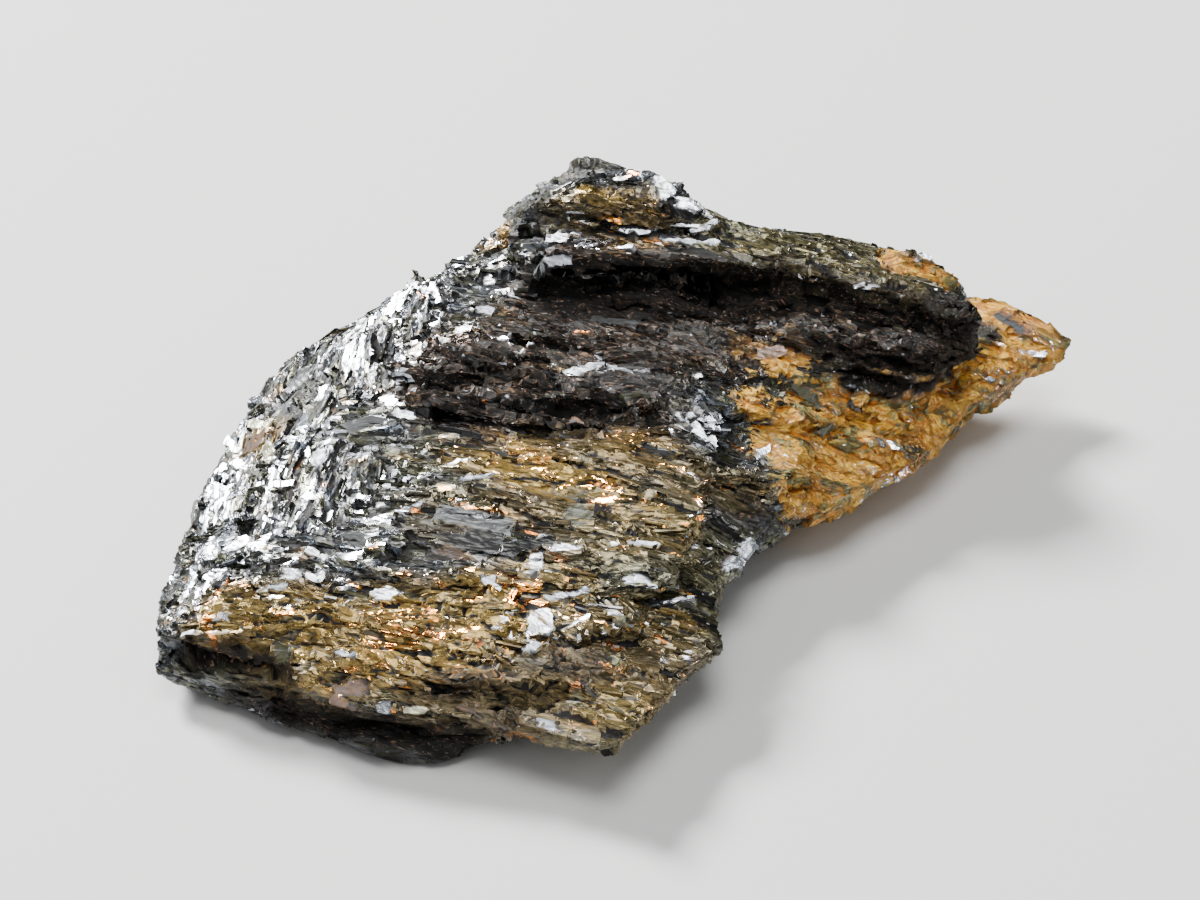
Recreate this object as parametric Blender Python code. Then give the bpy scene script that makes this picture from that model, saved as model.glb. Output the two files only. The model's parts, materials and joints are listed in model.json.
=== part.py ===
"""A raw flake of nuummite: black bladed amphibole rock, split along its grain.

The rock is one solid. It is worked out in its grain frame, where "a" runs along the blades, "b" runs
across them and "z" is up, in millimetres. Five masses give the bulk: each is an outline with a broken
top and a broken underside, made of facets that dip like rock beds. Flights of thin beds step down
their slopes, and blades of amphibole stand out of the beds. All are joined into one body, and the
frame is turned so that the stone's longest side lies along X.
"""

import math
import random

import bmesh
import bpy
from mathutils import Matrix, Vector
from mathutils.bvhtree import BVHTree
from mathutils.geometry import delaunay_2d_cdt, intersect_point_line

MM = 0.001
SEED = 11

# Driving dimensions, in millimetres and degrees.
GRAIN_TURN = -38.0  # the grain, measured from the stone's long side
TERRACE_HEIGHT = 6.3  # the broad split face, at its middle
TERRACE_MIDDLE = (-3.0, -8.0)
LIP_HEIGHT = 4.3  # the front edge of the broad split face
LEDGE_HEIGHT = 8.0  # the rim of the middle block
RIDGE_HEIGHT = 11.4  # the ridge's front edge, at its high end
CREST_HEIGHT = 13.9  # the highest point of the stone
LOWER_SHEET_TOP = 3.4
BASE_CLEARANCE = 0.3  # what is joined to the masses stays this far above the base
RUST_RIM = 3.7  # the thin edge on the right

# How the rock breaks.
EDGE_THICKNESS = 0.7  # the thin broken rim
RIM_STEP = 1.7  # the length of one tooth of a broken rim
RIM_TOOTH = 0.4  # the depth of that tooth
BED_TOOTH = 3.8  # the length of one tooth of a bed's edge
SPACING_ALONG = 3.4  # between the corners of the broad facets, along the grain
SPACING_ACROSS = 1.7
FACET_RELIEF = 0.12
FLAT_WITHIN = 1.0  # degrees: faces as flat as this to each other are one face

# Headings in the grain frame.
ALONG, BACK, AGAINST, FRONT = 0.0, 90.0, 180.0, 270.0


class Facet:
    """A plane through a point (a, b, z) that falls by "dip" degrees towards the heading "towards"."""

    def __init__(self, point, dip=0.0, towards=0.0):
        self.a, self.b, self.z = point
        fall = math.tan(math.radians(dip))
        self.fall_a = fall * math.cos(math.radians(towards))
        self.fall_b = fall * math.sin(math.radians(towards))

    def height(self, a, b):
        return self.z - self.fall_a * (a - self.a) - self.fall_b * (b - self.b)


# The cross fracture that ends every mass on the left.
LEFT_FRACTURE = Facet((-20.2, 0.0, 2.4), dip=34.0, towards=AGAINST)
LEFT_FLANK = Facet((-16.0, 8.2, 3.5), dip=41.0, towards=150.0)

MASSES = {
    "main_sheet": {
        "outline": [
            (-19.0, -16.8), (-19.6, -10.0), (-20.1, -3.0), (-19.4, 3.0), (-18.1, 6.3), (-16.0, 8.2),
            (-14.8, 11.2), (-10.6, 13.2), (-5.0, 13.6), (3.0, 13.2), (10.0, 13.9), (14.0, 15.1),
            (18.0, 15.7), (21.4, 14.4), (18.7, 10.1), (16.2, 6.2), (13.7, 1.9), (11.8, -0.8),
            (9.5, -2.3), (8.0, -4.2), (7.2, -6.6), (6.8, -9.2), (7.4, -11.7), (5.9, -14.6),
            (3.9, -20.1), (1.0, -19.5), (-1.6, -18.8), (-4.5, -19.6), (-8.1, -19.4), (-11.4, -19.0),
            (-12.4, -18.2), (-16.3, -18.0),
        ],
        "tops": [
            Facet((*TERRACE_MIDDLE, TERRACE_HEIGHT - 0.2), dip=5.7, towards=296.0),
            Facet((-7.0, -18.2, LIP_HEIGHT - 0.4), dip=21.0, towards=FRONT),
            LEFT_FRACTURE,
            LEFT_FLANK,
            Facet((11.8, -0.8, RUST_RIM), dip=20.0, towards=-32.0),
            Facet((3.8, -19.8, 3.3), dip=22.0, towards=285.0),
            Facet((-9.0, 12.6, 6.3), dip=45.0, towards=BACK),
        ],
        "bottoms": [
            Facet((0.0, 0.0, 1.2)),
            Facet((-7.0, -19.6, 2.6), dip=30.0, towards=BACK),
            Facet((12.0, -0.8, 2.6), dip=7.0, towards=148.0),
            Facet((-20.3, 0.0, 1.7), dip=30.0, towards=ALONG),
            Facet((0.0, 14.0, 3.2), dip=35.0, towards=FRONT),
            Facet((3.8, -19.8, 2.6), dip=16.0, towards=105.0),
        ],
    },
    "lower_sheet": {
        "outline": [
            (-18.7, -17.7), (-19.0, -10.0), (-19.2, -2.0), (-17.4, 4.6), (-14.0, 9.6), (-9.5, 12.0),
            (0.0, 12.2), (9.0, 12.6), (15.0, 13.2), (14.0, 8.6), (9.6, 3.0), (6.2, -3.6),
            (4.6, -9.0), (2.6, -14.2), (-1.2, -18.2), (-4.6, -19.6), (-8.0, -19.5), (-11.4, -18.6),
            (-12.1, -19.3), (-15.6, -18.0),
        ],
        "tops": [
            Facet((0.0, 0.0, LOWER_SHEET_TOP)),
            Facet((-15.6, -18.0, 1.6), dip=42.0, towards=FRONT),
        ],
        "bottoms": [
            Facet((0.0, 0.0, 0.0)),
            Facet((-14.0, -16.0, 0.0), dip=20.0, towards=65.0),
            Facet((3.0, -4.0, 0.0), dip=19.0, towards=150.0),
            Facet((-15.5, 0.0, 0.0), dip=24.0, towards=ALONG),
            Facet((0.0, 9.0, 0.0), dip=28.0, towards=FRONT),
            Facet((12.0, 6.0, 0.0), dip=12.0, towards=AGAINST),
        ],
    },
    "middle_block": {
        "outline": [
            (-10.4, -2.0), (-5.4, -2.2), (0.6, -1.2), (3.2, 1.8), (9.6, 4.4), (13.5, 6.0),
            (10.0, 11.5), (-8.0, 11.8), (-13.4, 10.2), (-12.8, 4.0),
        ],
        "tops": [
            Facet((-5.0, 4.6, 9.3), dip=13.5, towards=FRONT),
            Facet((4.0, 4.4, 8.2), dip=15.0, towards=-20.0),
            LEFT_FRACTURE,
            LEFT_FLANK,
        ],
        "bottoms": [Facet((0.0, 0.0, 4.4))],
    },
    "ridge": {
        "outline": [
            (-5.6, 4.9), (-1.0, 5.7), (3.0, 6.3), (7.2, 6.4), (11.0, 6.2), (15.0, 6.9),
            (16.8, 9.4), (15.8, 12.2), (11.0, 12.9), (4.0, 12.2), (-3.0, 12.4), (-6.8, 12.2),
            (-8.2, 10.8), (-7.4, 7.4),
        ],
        "tops": [
            Facet((-1.0, 5.4, RIDGE_HEIGHT), dip=18.0, towards=280.0),
            Facet((2.6, 7.1, 11.2), dip=9.0, towards=-20.0),
            Facet((11.0, 8.6, 9.6), dip=44.0, towards=280.0),
            Facet((16.6, 9.6, 7.0), dip=38.0, towards=-10.0),
            Facet((2.0, 11.4, 11.0), dip=30.0, towards=82.0),
            Facet((-7.8, 9.0, 10.6), dip=46.0, towards=AGAINST),
        ],
        "bottoms": [
            Facet((0.0, 0.0, 5.0)),
            Facet((15.2, 6.0, 5.9), dip=14.0, towards=125.0),
        ],
    },
    "crest": {
        "outline": [
            (-7.0, 9.4), (-5.2, 8.5), (-2.2, 8.3), (0.2, 9.0), (2.2, 10.5), (1.0, 12.0),
            (-3.4, 12.5), (-6.4, 11.9),
        ],
        "tops": [
            Facet((-4.0, 11.2, CREST_HEIGHT), dip=19.0, towards=300.0),
            Facet((-6.2, 9.6, 12.0), dip=46.0, towards=AGAINST),
            Facet((1.0, 10.6, 12.2), dip=28.0, towards=10.0),
            Facet((-3.0, 12.0, 13.1), dip=40.0, towards=BACK),
        ],
        "bottoms": [Facet((0.0, 0.0, 8.0))],
    },
}

# Flights of beds. Each bed's rim lies between the low rim and the high rim, and its broken edge faces
# the heading "faces". "step" is the height of that edge, "run" is how far a bed reaches into the rock,
# "lean" is how far the edge is undercut, and "hollow" sets the middle beds back.
FLIGHTS = {
    "front_slope": {
        "low": [(-18.6, -17.4, 3.9), (-12.4, -18.2, LIP_HEIGHT), (-7.0, -18.4, LIP_HEIGHT),
                (-1.9, -17.7, 4.2), (3.6, -15.6, 4.1)],
        "high": [(-16.2, -12.6, 5.7), (-11.0, -13.2, 6.0), (-6.0, -13.4, 6.0), (-1.0, -12.6, 6.0),
                 (4.8, -11.4, 5.6)],
        "count": 3, "faces": FRONT, "step": 0.55, "run": 4.0, "lean": 0.1,
    },
    "terrace": {
        "low": [(-15.4, -10.9, 6.1), (-8.0, -11.3, 6.4), (0.0, -10.6, 6.2), (6.4, -9.0, 5.7)],
        "high": [(-13.2, -4.4, 7.0), (-7.0, -4.2, 7.1), (0.5, -4.2, 6.8), (6.4, -3.6, 6.1)],
        "count": 3, "faces": FRONT, "step": 0.5, "run": 4.4, "lean": 0.05,
    },
    "scarp": {
        "low": [(0.6, -3.0, 7.2), (4.4, -2.6, 6.7), (8.6, -2.5, 5.6), (10.2, -1.2, 5.0)],
        "high": [(1.4, -0.6, 7.6), (4.8, 0.2, 7.3), (8.4, 1.0, 6.4), (11.6, 2.4, 5.6)],
        "count": 2, "faces": FRONT, "step": 1.0, "run": 4.6, "lean": 0.15,
    },
    "middle_steps": {
        "low": [(-11.0, -2.8, 8.0), (-8.0, -3.2, LEDGE_HEIGHT), (-5.4, -2.8, 7.9), (-2.2, -2.9, 7.8),
                (1.4, -1.8, 7.4)],
        "high": [(-11.6, 3.6, 9.3), (-8.4, 3.9, 9.6), (-5.8, 4.4, 9.6), (-2.0, 4.3, 9.4),
                 (2.6, 4.4, 8.8)],
        "count": 5, "faces": FRONT, "step": 0.8, "run": 3.2, "lean": 0.25,
    },
    "right_steps": {
        "low": [(2.4, 1.4, 7.5), (5.6, 2.4, 7.1), (9.4, 3.2, 6.3), (13.4, 4.2, 5.4)],
        "high": [(2.6, 4.2, 8.6), (5.8, 4.8, 8.1), (9.6, 5.0, 7.2), (14.0, 5.8, 6.1)],
        "count": 2, "faces": FRONT, "step": 0.8, "run": 3.4, "lean": 0.2,
    },
    "ridge_front": {
        "low": [(-6.0, 5.4, 9.9), (-1.2, 5.1, 9.8), (2.6, 5.4, 9.2), (6.6, 5.8, 8.4),
                (10.9, 5.6, 7.4), (15.1, 6.3, 6.5), (17.0, 8.4, 6.7)],
        "high": [(-5.6, 4.5, RIDGE_HEIGHT), (-1.2, 5.4, 11.4), (2.6, 6.8, 11.2), (6.6, 7.8, 10.7),
                 (11.1, 8.8, 9.8), (15.0, 8.9, 8.9), (16.6, 9.9, 7.7)],
        "count": 5, "faces": FRONT, "step": 0.85, "run": 3.4, "lean": 0.2, "hollow": 0.55,
    },
    "crest_steps": {
        "low": [(-6.2, 8.9, 12.2), (-3.0, 8.2, 12.3), (2.0, 9.7, 12.0)],
        "high": [(-5.4, 10.0, 12.9), (-2.6, 10.0, 12.9), (2.0, 11.0, 12.6)],
        "count": 3, "faces": FRONT, "step": 0.5, "run": 1.6, "lean": 0.1,
    },
    "left_slope": {
        "low": [(-18.7, -16.4, 3.6), (-19.6, -9.4, 3.1), (-19.8, -4.6, 3.0), (-19.3, 1.0, 3.0),
                (-18.0, 5.8, 2.9), (-15.9, 8.4, 3.2), (-14.5, 11.0, 3.6)],
        "high": [(-16.0, -14.6, 5.4), (-14.6, -8.6, 6.6), (-14.0, -5.0, 6.9), (-12.9, -1.0, 7.2),
                 (-11.9, 2.2, 7.6), (-10.6, 6.0, 8.7), (-9.2, 9.2, 9.5)],
        "count": 5, "faces": AGAINST, "step": 0.6, "run": 3.2, "lean": 0.0,
    },
    "front_bulge": {
        "low": [(-18.0, -18.0, 1.7), (-15.4, -18.0, 1.3), (-12.0, -19.1, 1.2), (-7.3, -19.6, 1.2),
                (-4.5, -19.5, 1.2), (-1.2, -18.4, 1.7)],
        "high": [(-18.4, -17.4, 2.9), (-14.2, -17.0, 2.9), (-10.8, -17.9, 3.0), (-7.0, -18.4, 3.1),
                 (-4.0, -18.4, 3.1), (0.6, -18.2, 3.0)],
        "count": 3, "faces": FRONT, "step": 0.5, "run": 3.0, "lean": 0.3,
    },
    "apron": {
        "low": [(8.4, -3.0, 3.9), (11.8, -0.6, 3.8), (14.6, 4.0, 3.9), (17.0, 8.2, 3.9),
                (20.0, 13.2, 4.0)],
        "high": [(6.8, 0.4, 5.5), (9.4, 2.0, 5.3), (12.4, 4.6, 5.2), (15.4, 8.0, 5.0),
                 (17.6, 12.0, 4.9)],
        "count": 3, "faces": -32.0, "step": 0.35, "run": 2.6, "lean": 0.1,
    },
    "back_slope": {
        "low": [(-13.6, 12.2, 4.2), (-9.0, 13.4, 4.3), (-3.0, 13.8, 4.2), (4.0, 13.5, 4.4),
                (11.0, 14.2, 4.6), (17.0, 15.2, 4.0)],
        "high": [(-8.6, 10.4, 9.4), (-6.2, 11.6, 11.4), (-2.0, 12.0, 11.6), (4.0, 11.8, 10.4),
                 (10.2, 12.2, 8.6), (15.0, 12.4, 6.8)],
        "count": 5, "faces": BACK, "step": 1.1, "run": 3.0, "lean": 0.15,
    },
}

# Fields of blades: "where" is an outline in the grain frame that the blades grow in.
BLADE_FIELDS = [
    {"where": [(-17, -12), (-13, -4.4), (5, -4), (5, -9.6), (2, -13)],
     "count": 20, "heading": ALONG, "spread": 9, "length": (2.4, 4.4)},
    {"where": [(-18, -17.4), (-17, -12.5), (3, -13), (2, -17.4), (-8, -18.2)],
     "count": 15, "heading": ALONG, "spread": 14, "length": (1.8, 3.6)},
    {"where": [(-19.4, -9), (-14, -8), (-8.6, 8.6), (-13.6, 11.4), (-18.6, 4)],
     "count": 22, "heading": BACK, "spread": 24, "length": (1.8, 3.4)},
    {"where": [(-10.4, -2.6), (1.2, -1.6), (2.2, 4.2), (-10.8, 4.2)],
     "count": 11, "heading": ALONG, "spread": 8, "length": (2.0, 4.2)},
    {"where": [(3, -1.6), (9.6, -1.6), (17.6, 9.4), (20, 13.8), (17, 14), (14, 5), (4, 3)],
     "count": 12, "heading": ALONG, "spread": 30, "length": (1.6, 3.0)},
    {"where": [(-3, 5.6), (16.4, 7), (16, 8.6), (4, 7)],
     "count": 9, "heading": ALONG, "spread": 8, "length": (1.8, 3.4)},
    {"where": [(-5, 5.4), (11, 9.2), (15.4, 10), (14, 12), (2, 11.4), (-6, 11.4)],
     "count": 12, "heading": ALONG, "spread": 9, "length": (2.0, 4.0)},
]
BLADE_WIDTH = (0.55, 1.0)
BLADE_HEIGHT = (0.5, 0.8)
BLADE_SHOWS = 0.45  # the share of a blade's height that stands out of the rock

# Blades large enough to be known one by one: (a, b, heading, length, width, height, pitch).
LARGE_BLADES = {
    "lens": (-4.6, -10.3, 3.0, 5.8, 1.5, 0.9, 0.0),
    "slab_over_lens": (-6.6, -8.6, 4.0, 4.6, 1.3, 0.8, 2.0),
    "white_block": (-1.4, -14.6, 8.0, 1.7, 1.5, 1.2, -6.0),
    "pair_left": (-18.0, -1.2, 84.0, 3.4, 1.0, 0.9, 4.0),
    "pair_right": (-16.6, -1.4, 80.0, 3.0, 0.9, 0.9, 3.0),
    "golden": (0.6, -5.4, -3.0, 6.0, 0.8, 0.8, 0.0),
    "white_cluster": (4.0, -0.9, -34.0, 3.0, 1.1, 1.0, -4.0),
    "apron_glint": (12.6, 2.9, -40.0, 1.9, 0.8, 0.8, -6.0),
}


def clear_scene():
    for old in list(bpy.data.objects):
        bpy.data.objects.remove(old)


def ragged(outline, chance):
    """The outline with teeth: each side is cut into short steps that jump in and out."""
    ring = []
    for start, end in zip(outline, outline[1:] + outline[:1]):
        start, end = Vector(start), Vector(end)
        side = end - start
        out = Vector((side.y, -side.x)).normalized()
        steps = max(1, round(side.length / RIM_STEP))
        across = abs(side.normalized().y)  # a rim across the grain is the more toothed
        for i in range(steps):
            tooth = RIM_TOOTH * (0.45 + 0.75 * across) * chance.uniform(-1.0, 1.0)
            slide = 0.3 * chance.uniform(-1.0, 1.0) if i else 0.0
            ring.append(start + side * ((i + slide) / steps) + out * (tooth if i else 0.35 * tooth))
    return ring


def inside(point, ring):
    """True where the point lies in the ring, by counting the sides that a line to +a crosses."""
    crossings = 0
    for p, q in zip(ring, ring[1:] + ring[:1]):
        if (p.y > point.y) != (q.y > point.y):
            crossings += p.x + (point.y - p.y) / (q.y - p.y) * (q.x - p.x) > point.x
    return crossings % 2 == 1


def rim_distance(point, ring):
    nearest = math.inf
    for p, q in zip(ring, ring[1:] + ring[:1]):
        foot, share = intersect_point_line(point, p, q)
        foot = p if share < 0 else q if share > 1 else foot.to_2d()
        nearest = min(nearest, (point - foot).length)
    return nearest


def facet_corners(ring, chance):
    """Points inside the ring, in rows along the grain, further apart along it than across."""
    low = Vector((min(p.x for p in ring), min(p.y for p in ring)))
    high = Vector((max(p.x for p in ring), max(p.y for p in ring)))
    corners = []
    for row in range(math.ceil((high.y - low.y) / SPACING_ACROSS)):
        for column in range(math.ceil((high.x - low.x) / SPACING_ALONG)):
            spot = low + Vector((
                (column + row % 2 / 2 + chance.uniform(-0.35, 0.35)) * SPACING_ALONG,
                (row + chance.uniform(-0.35, 0.35)) * SPACING_ACROSS,
            ))
            if inside(spot, ring) and rim_distance(spot, ring) > 0.45 * SPACING_ACROSS:
                corners.append(spot)
    return corners


def mass_mesh(mass, chance):
    """A closed mesh between the lowest of the top facets and the highest of the bottom ones."""
    ring = ragged(mass["outline"], chance)
    plan = ring + facet_corners(ring, chance)
    squeezed = [Vector((p.x * SPACING_ACROSS / SPACING_ALONG, p.y)) for p in plan]
    rim = [(i, (i + 1) % len(ring)) for i in range(len(ring))]
    found = delaunay_2d_cdt(squeezed, rim, [], 1, 1e-5)
    mesh = bmesh.new()
    top, bottom = [], []
    for p in plan:
        high = min(f.height(p.x, p.y) for f in mass["tops"])
        low = max(f.height(p.x, p.y) for f in mass["bottoms"])
        high += FACET_RELIEF * chance.uniform(-1.0, 1.0)
        if low > 0:
            low = max(0.0, low + FACET_RELIEF * chance.uniform(-1.0, 1.0))
        top.append(mesh.verts.new((p.x, p.y, max(high, low + EDGE_THICKNESS))))
        bottom.append(mesh.verts.new((p.x, p.y, low)))
    for face in found[2]:
        mesh.faces.new([top[i] for i in face])
        mesh.faces.new([bottom[i] for i in reversed(face)])
    for i, j in rim:
        mesh.faces.new([bottom[i], bottom[j], top[j], top[i]])
    return mesh


def along_line(line, share):
    """The point at a share of the way along a line of points."""
    place = share * (len(line) - 1)
    i = min(int(place), len(line) - 2)
    return Vector(line[i]).lerp(Vector(line[i + 1]), place - i)


def bed_mesh(flight, share, chance):
    """One bed of a flight: a strip whose toothed edge stands free and whose back is in the rock."""
    heading = math.radians(flight["faces"])
    out = Vector((math.cos(heading), math.sin(heading), 0.0))
    up = Vector((0.0, 0.0, 1.0))
    low, high = flight["low"], flight["high"]
    start, end = chance.uniform(0.0, 0.12), chance.uniform(0.88, 1.0)
    length = (Vector(low[-1]) - Vector(low[0])).length
    teeth = max(3, round((end - start) * length / BED_TOOTH))
    hollow = flight.get("hollow", 0.0) * math.sin(math.pi * share)
    mesh = bmesh.new()
    rings = []
    for k in range(teeth):
        jump = RIM_TOOTH * chance.uniform(-1.2, 1.2) - hollow
        lift = 0.12 * chance.uniform(-1.0, 1.0)
        for edge in (k + 0.06, k + 0.94):
            at = start + (end - start) * edge / teeth
            rim = along_line(low, at).lerp(along_line(high, at), share)
            rim += out * (jump + 0.1 * chance.uniform(-1.0, 1.0)) + up * lift
            run = flight["run"] * (1.0 - 0.6 * abs(2.0 * at - 1.0) ** 3)
            section = [
                rim,
                rim - out * run + up * 0.1,
                rim - out * run - up * 2.2 * flight["step"],
                rim - out * flight["lean"] - up * 1.8 * flight["step"],
            ]
            for corner in section:
                corner.z = max(corner.z, BASE_CLEARANCE)
            rings.append([mesh.verts.new(corner) for corner in section])
    for ring, following in zip(rings, rings[1:]):
        for i in range(4):
            j = (i + 1) % 4
            mesh.faces.new([ring[i], ring[j], following[j], following[i]])
    mesh.faces.new(rings[0])
    mesh.faces.new(reversed(rings[-1]))
    return mesh


def blade_mesh(length, width, height, chance):
    """One blade: a flat prism with a ridged top and slanting broken ends, about its own middle."""
    mesh = bmesh.new()
    sections = []
    for side in (-1, 1):
        slant = chance.uniform(-0.35, 0.35) * width
        taper = chance.uniform(0.55, 0.95)
        profile = [(-0.5, -0.5), (0.5, -0.5), (0.5 * taper, 0.3), (0.08, 0.5), (-0.5 * taper, 0.3)]
        sections.append([
            mesh.verts.new((side * (length / 2 - 0.25 * z * height) + slant * y, y * width, z * height))
            for y, z in profile
        ])
    first, last = sections
    for i in range(5):
        j = (i + 1) % 5
        mesh.faces.new([first[i], first[j], last[j], last[i]])
    mesh.faces.new(first)
    mesh.faces.new(reversed(last))
    return mesh


def add_solid(name, mesh, frame, collection, place=None):
    """Turns a mesh in millimetres into an object that rides on the stone's frame."""
    bmesh.ops.triangulate(mesh, faces=mesh.faces[:])
    bmesh.ops.recalc_face_normals(mesh, faces=mesh.faces[:])
    data = bpy.data.meshes.new(name)
    mesh.to_mesh(data)
    mesh.free()
    data.transform(Matrix.Scale(MM, 4) @ (place or Matrix()))
    obj = bpy.data.objects.new(name, data)
    obj.parent = frame
    collection.objects.link(obj)
    return obj


def hidden_collection(name):
    collection = bpy.data.collections.new(name)
    bpy.context.scene.collection.children.link(collection)
    return collection


def join(stone, collection, operation="UNION"):
    for obj in collection.objects:
        obj.hide_render = True
        obj.display_type = "WIRE"
    step = stone.modifiers.new(collection.name, "BOOLEAN")
    step.operation = operation
    step.operand_type = "COLLECTION"
    step.collection = collection
    step.solver = "EXACT"


def merge_flat_faces(stone):
    tidy = stone.modifiers.new("merge_flat_faces", "DECIMATE")
    tidy.decimate_type = "DISSOLVE"
    tidy.angle_limit = math.radians(FLAT_WITHIN)


def island(face):
    """The faces that hang together with this one."""
    found, todo = {face}, [face]
    while todo:
        for edge in todo.pop().edges:
            fresh = set(edge.link_faces) - found
            found |= fresh
            todo.extend(fresh)
    return found


def keep_outer_skin(stone):
    """Settles the joins in the mesh, without the tiny pockets that are sealed between blades."""
    mesh = bmesh.new()
    mesh.from_object(stone, bpy.context.evaluated_depsgraph_get())
    highest = max(mesh.verts, key=lambda v: v.co.z)
    skin = island(highest.link_faces[0])
    bmesh.ops.delete(mesh, geom=[f for f in mesh.faces if f not in skin], context="FACES")
    mesh.to_mesh(stone.data)
    mesh.free()
    stone.modifiers.clear()


def remove_collection(collection):
    for obj in list(collection.objects):
        bpy.data.objects.remove(obj)
    bpy.data.collections.remove(collection)


def surface_of(stone):
    """The stone's surface so far, in the grain frame, for placing what grows on it."""
    return BVHTree.FromObject(stone, bpy.context.evaluated_depsgraph_get())


def blade_place(surface, a, b, heading, height, pitch):
    """A frame on the rock's surface at (a, b), with X along the blade and Z out of the rock."""
    spot, normal, _, _ = surface.ray_cast(Vector((a, b, 30.0)) * MM, Vector((0.0, 0.0, -1.0)))
    along = Vector((math.cos(math.radians(heading)), math.sin(math.radians(heading)), 0.0))
    normal = (normal + Vector((0.0, 0.0, 0.8))).normalized()
    along = (along - normal * along.dot(normal)).normalized()
    across = normal.cross(along)
    turn = Matrix((along, across, normal)).transposed().to_4x4()
    middle = spot / MM + normal * height * (BLADE_SHOWS - 0.5)
    return Matrix.Translation(middle) @ turn @ Matrix.Rotation(math.radians(-pitch), 4, "Y")


def grow_blades(surface, frame, collection, chance):
    for name, (a, b, heading, length, width, height, pitch) in LARGE_BLADES.items():
        place = blade_place(surface, a, b, heading, height, pitch)
        add_solid(name, blade_mesh(length, width, height, chance), frame, collection, place)
    for field in BLADE_FIELDS:
        ring = [Vector(p) for p in field["where"]]
        low = Vector((min(p.x for p in ring), min(p.y for p in ring)))
        high = Vector((max(p.x for p in ring), max(p.y for p in ring)))
        grown = 0
        while grown < field["count"]:
            spot = Vector((chance.uniform(low.x, high.x), chance.uniform(low.y, high.y)))
            if not inside(spot, ring):
                continue
            height = chance.uniform(*BLADE_HEIGHT)
            heading = field["heading"] + field["spread"] * chance.uniform(-1.0, 1.0)
            pitch = chance.uniform(-7.0, 7.0)
            place = blade_place(surface, spot.x, spot.y, heading, height, pitch)
            length, width = chance.uniform(*field["length"]), chance.uniform(*BLADE_WIDTH)
            add_solid("blade", blade_mesh(length, width, height, chance), frame, collection, place)
            grown += 1


def rock_material():
    material = bpy.data.materials.new("black_amphibole")
    material.use_nodes = True
    shader = material.node_tree.nodes["Principled BSDF"]
    shader.inputs["Base Color"].default_value = (0.055, 0.052, 0.048, 1.0)
    shader.inputs["Roughness"].default_value = 0.35
    shader.inputs["Metallic"].default_value = 0.15
    return material


def centre(stone, frame):
    """Moves the frame so that the origin is the middle of the stone's base."""
    bpy.context.view_layer.update()
    corners = [stone.matrix_world @ v.co for v in stone.data.vertices]
    for axis in (0, 1):
        values = [c[axis] for c in corners]
        frame.location[axis] = -(min(values) + max(values)) / 2
    frame.location.z = -min(c.z for c in corners)


def main():
    clear_scene()
    chance = random.Random(SEED)
    frame = bpy.data.objects.new("grain_frame", None)
    bpy.context.scene.collection.objects.link(frame)
    masses, beds, blades = (hidden_collection(n) for n in ("join_masses", "join_beds", "join_blades"))

    stone = add_solid(
        "nuummite_stone", mass_mesh(MASSES["main_sheet"], chance), frame, bpy.context.scene.collection)
    for name, mass in MASSES.items():
        if name != "main_sheet":
            add_solid(name, mass_mesh(mass, chance), frame, masses)
    join(stone, masses)

    for name, flight in FLIGHTS.items():
        for k in range(flight["count"]):
            share = k / max(1, flight["count"] - 1)
            add_solid(f"{name}_{k + 1}", bed_mesh(flight, share, chance), frame, beds)
    join(stone, beds)

    bpy.context.view_layer.update()
    grow_blades(surface_of(stone), frame, blades, chance)
    join(stone, blades)

    merge_flat_faces(stone)
    keep_outer_skin(stone)
    for collection in (masses, beds, blades):
        remove_collection(collection)
    stone.data.materials.append(rock_material())
    frame.rotation_euler.z = math.radians(GRAIN_TURN)
    centre(stone, frame)


main()
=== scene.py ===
import json
import math

import bmesh
import bpy
import numpy as np
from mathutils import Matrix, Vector, noise
from mathutils.bvhtree import BVHTree

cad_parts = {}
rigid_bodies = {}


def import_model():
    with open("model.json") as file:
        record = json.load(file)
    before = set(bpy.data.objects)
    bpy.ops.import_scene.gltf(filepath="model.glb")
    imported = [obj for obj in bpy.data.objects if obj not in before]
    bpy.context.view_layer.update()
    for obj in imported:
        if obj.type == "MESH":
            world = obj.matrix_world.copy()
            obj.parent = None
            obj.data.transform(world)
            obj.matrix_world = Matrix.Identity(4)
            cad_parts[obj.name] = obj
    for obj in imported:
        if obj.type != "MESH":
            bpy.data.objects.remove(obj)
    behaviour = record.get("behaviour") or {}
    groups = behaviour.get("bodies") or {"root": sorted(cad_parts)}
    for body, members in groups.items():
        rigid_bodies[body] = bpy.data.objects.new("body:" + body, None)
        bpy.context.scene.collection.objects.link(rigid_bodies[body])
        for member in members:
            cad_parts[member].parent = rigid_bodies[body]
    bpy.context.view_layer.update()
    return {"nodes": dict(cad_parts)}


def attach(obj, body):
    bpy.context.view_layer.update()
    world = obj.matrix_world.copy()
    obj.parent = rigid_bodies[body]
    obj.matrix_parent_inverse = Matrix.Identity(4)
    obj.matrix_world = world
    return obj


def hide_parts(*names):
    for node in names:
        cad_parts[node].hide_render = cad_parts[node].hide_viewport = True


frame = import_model()
stoneNode = frame["nodes"]["nuummite_stone"]
mm = 0.001
grainTurn = math.radians(-38.0)  # the way the blades run, from the stone's long side
alongGrain = Vector((math.cos(grainTurn), math.sin(grainTurn), 0.0))
acrossGrain = Vector((-math.sin(grainTurn), math.cos(grainTurn), 0.0))


def placed(name, data):
    # a new object in the scene
    thing = bpy.data.objects.new(name, data)
    bpy.context.scene.collection.objects.link(thing)
    return thing


def towardsViewer(azimuth, elevation):
    a, e = math.radians(azimuth), math.radians(elevation)
    return Vector((math.sin(a) * math.cos(e), -math.cos(a) * math.cos(e), math.sin(e)))


def lookFrom(thing, back):
    thing.rotation_mode = "QUATERNION"
    thing.rotation_quaternion = (-back).to_track_quat("-Z", "Y")


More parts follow.
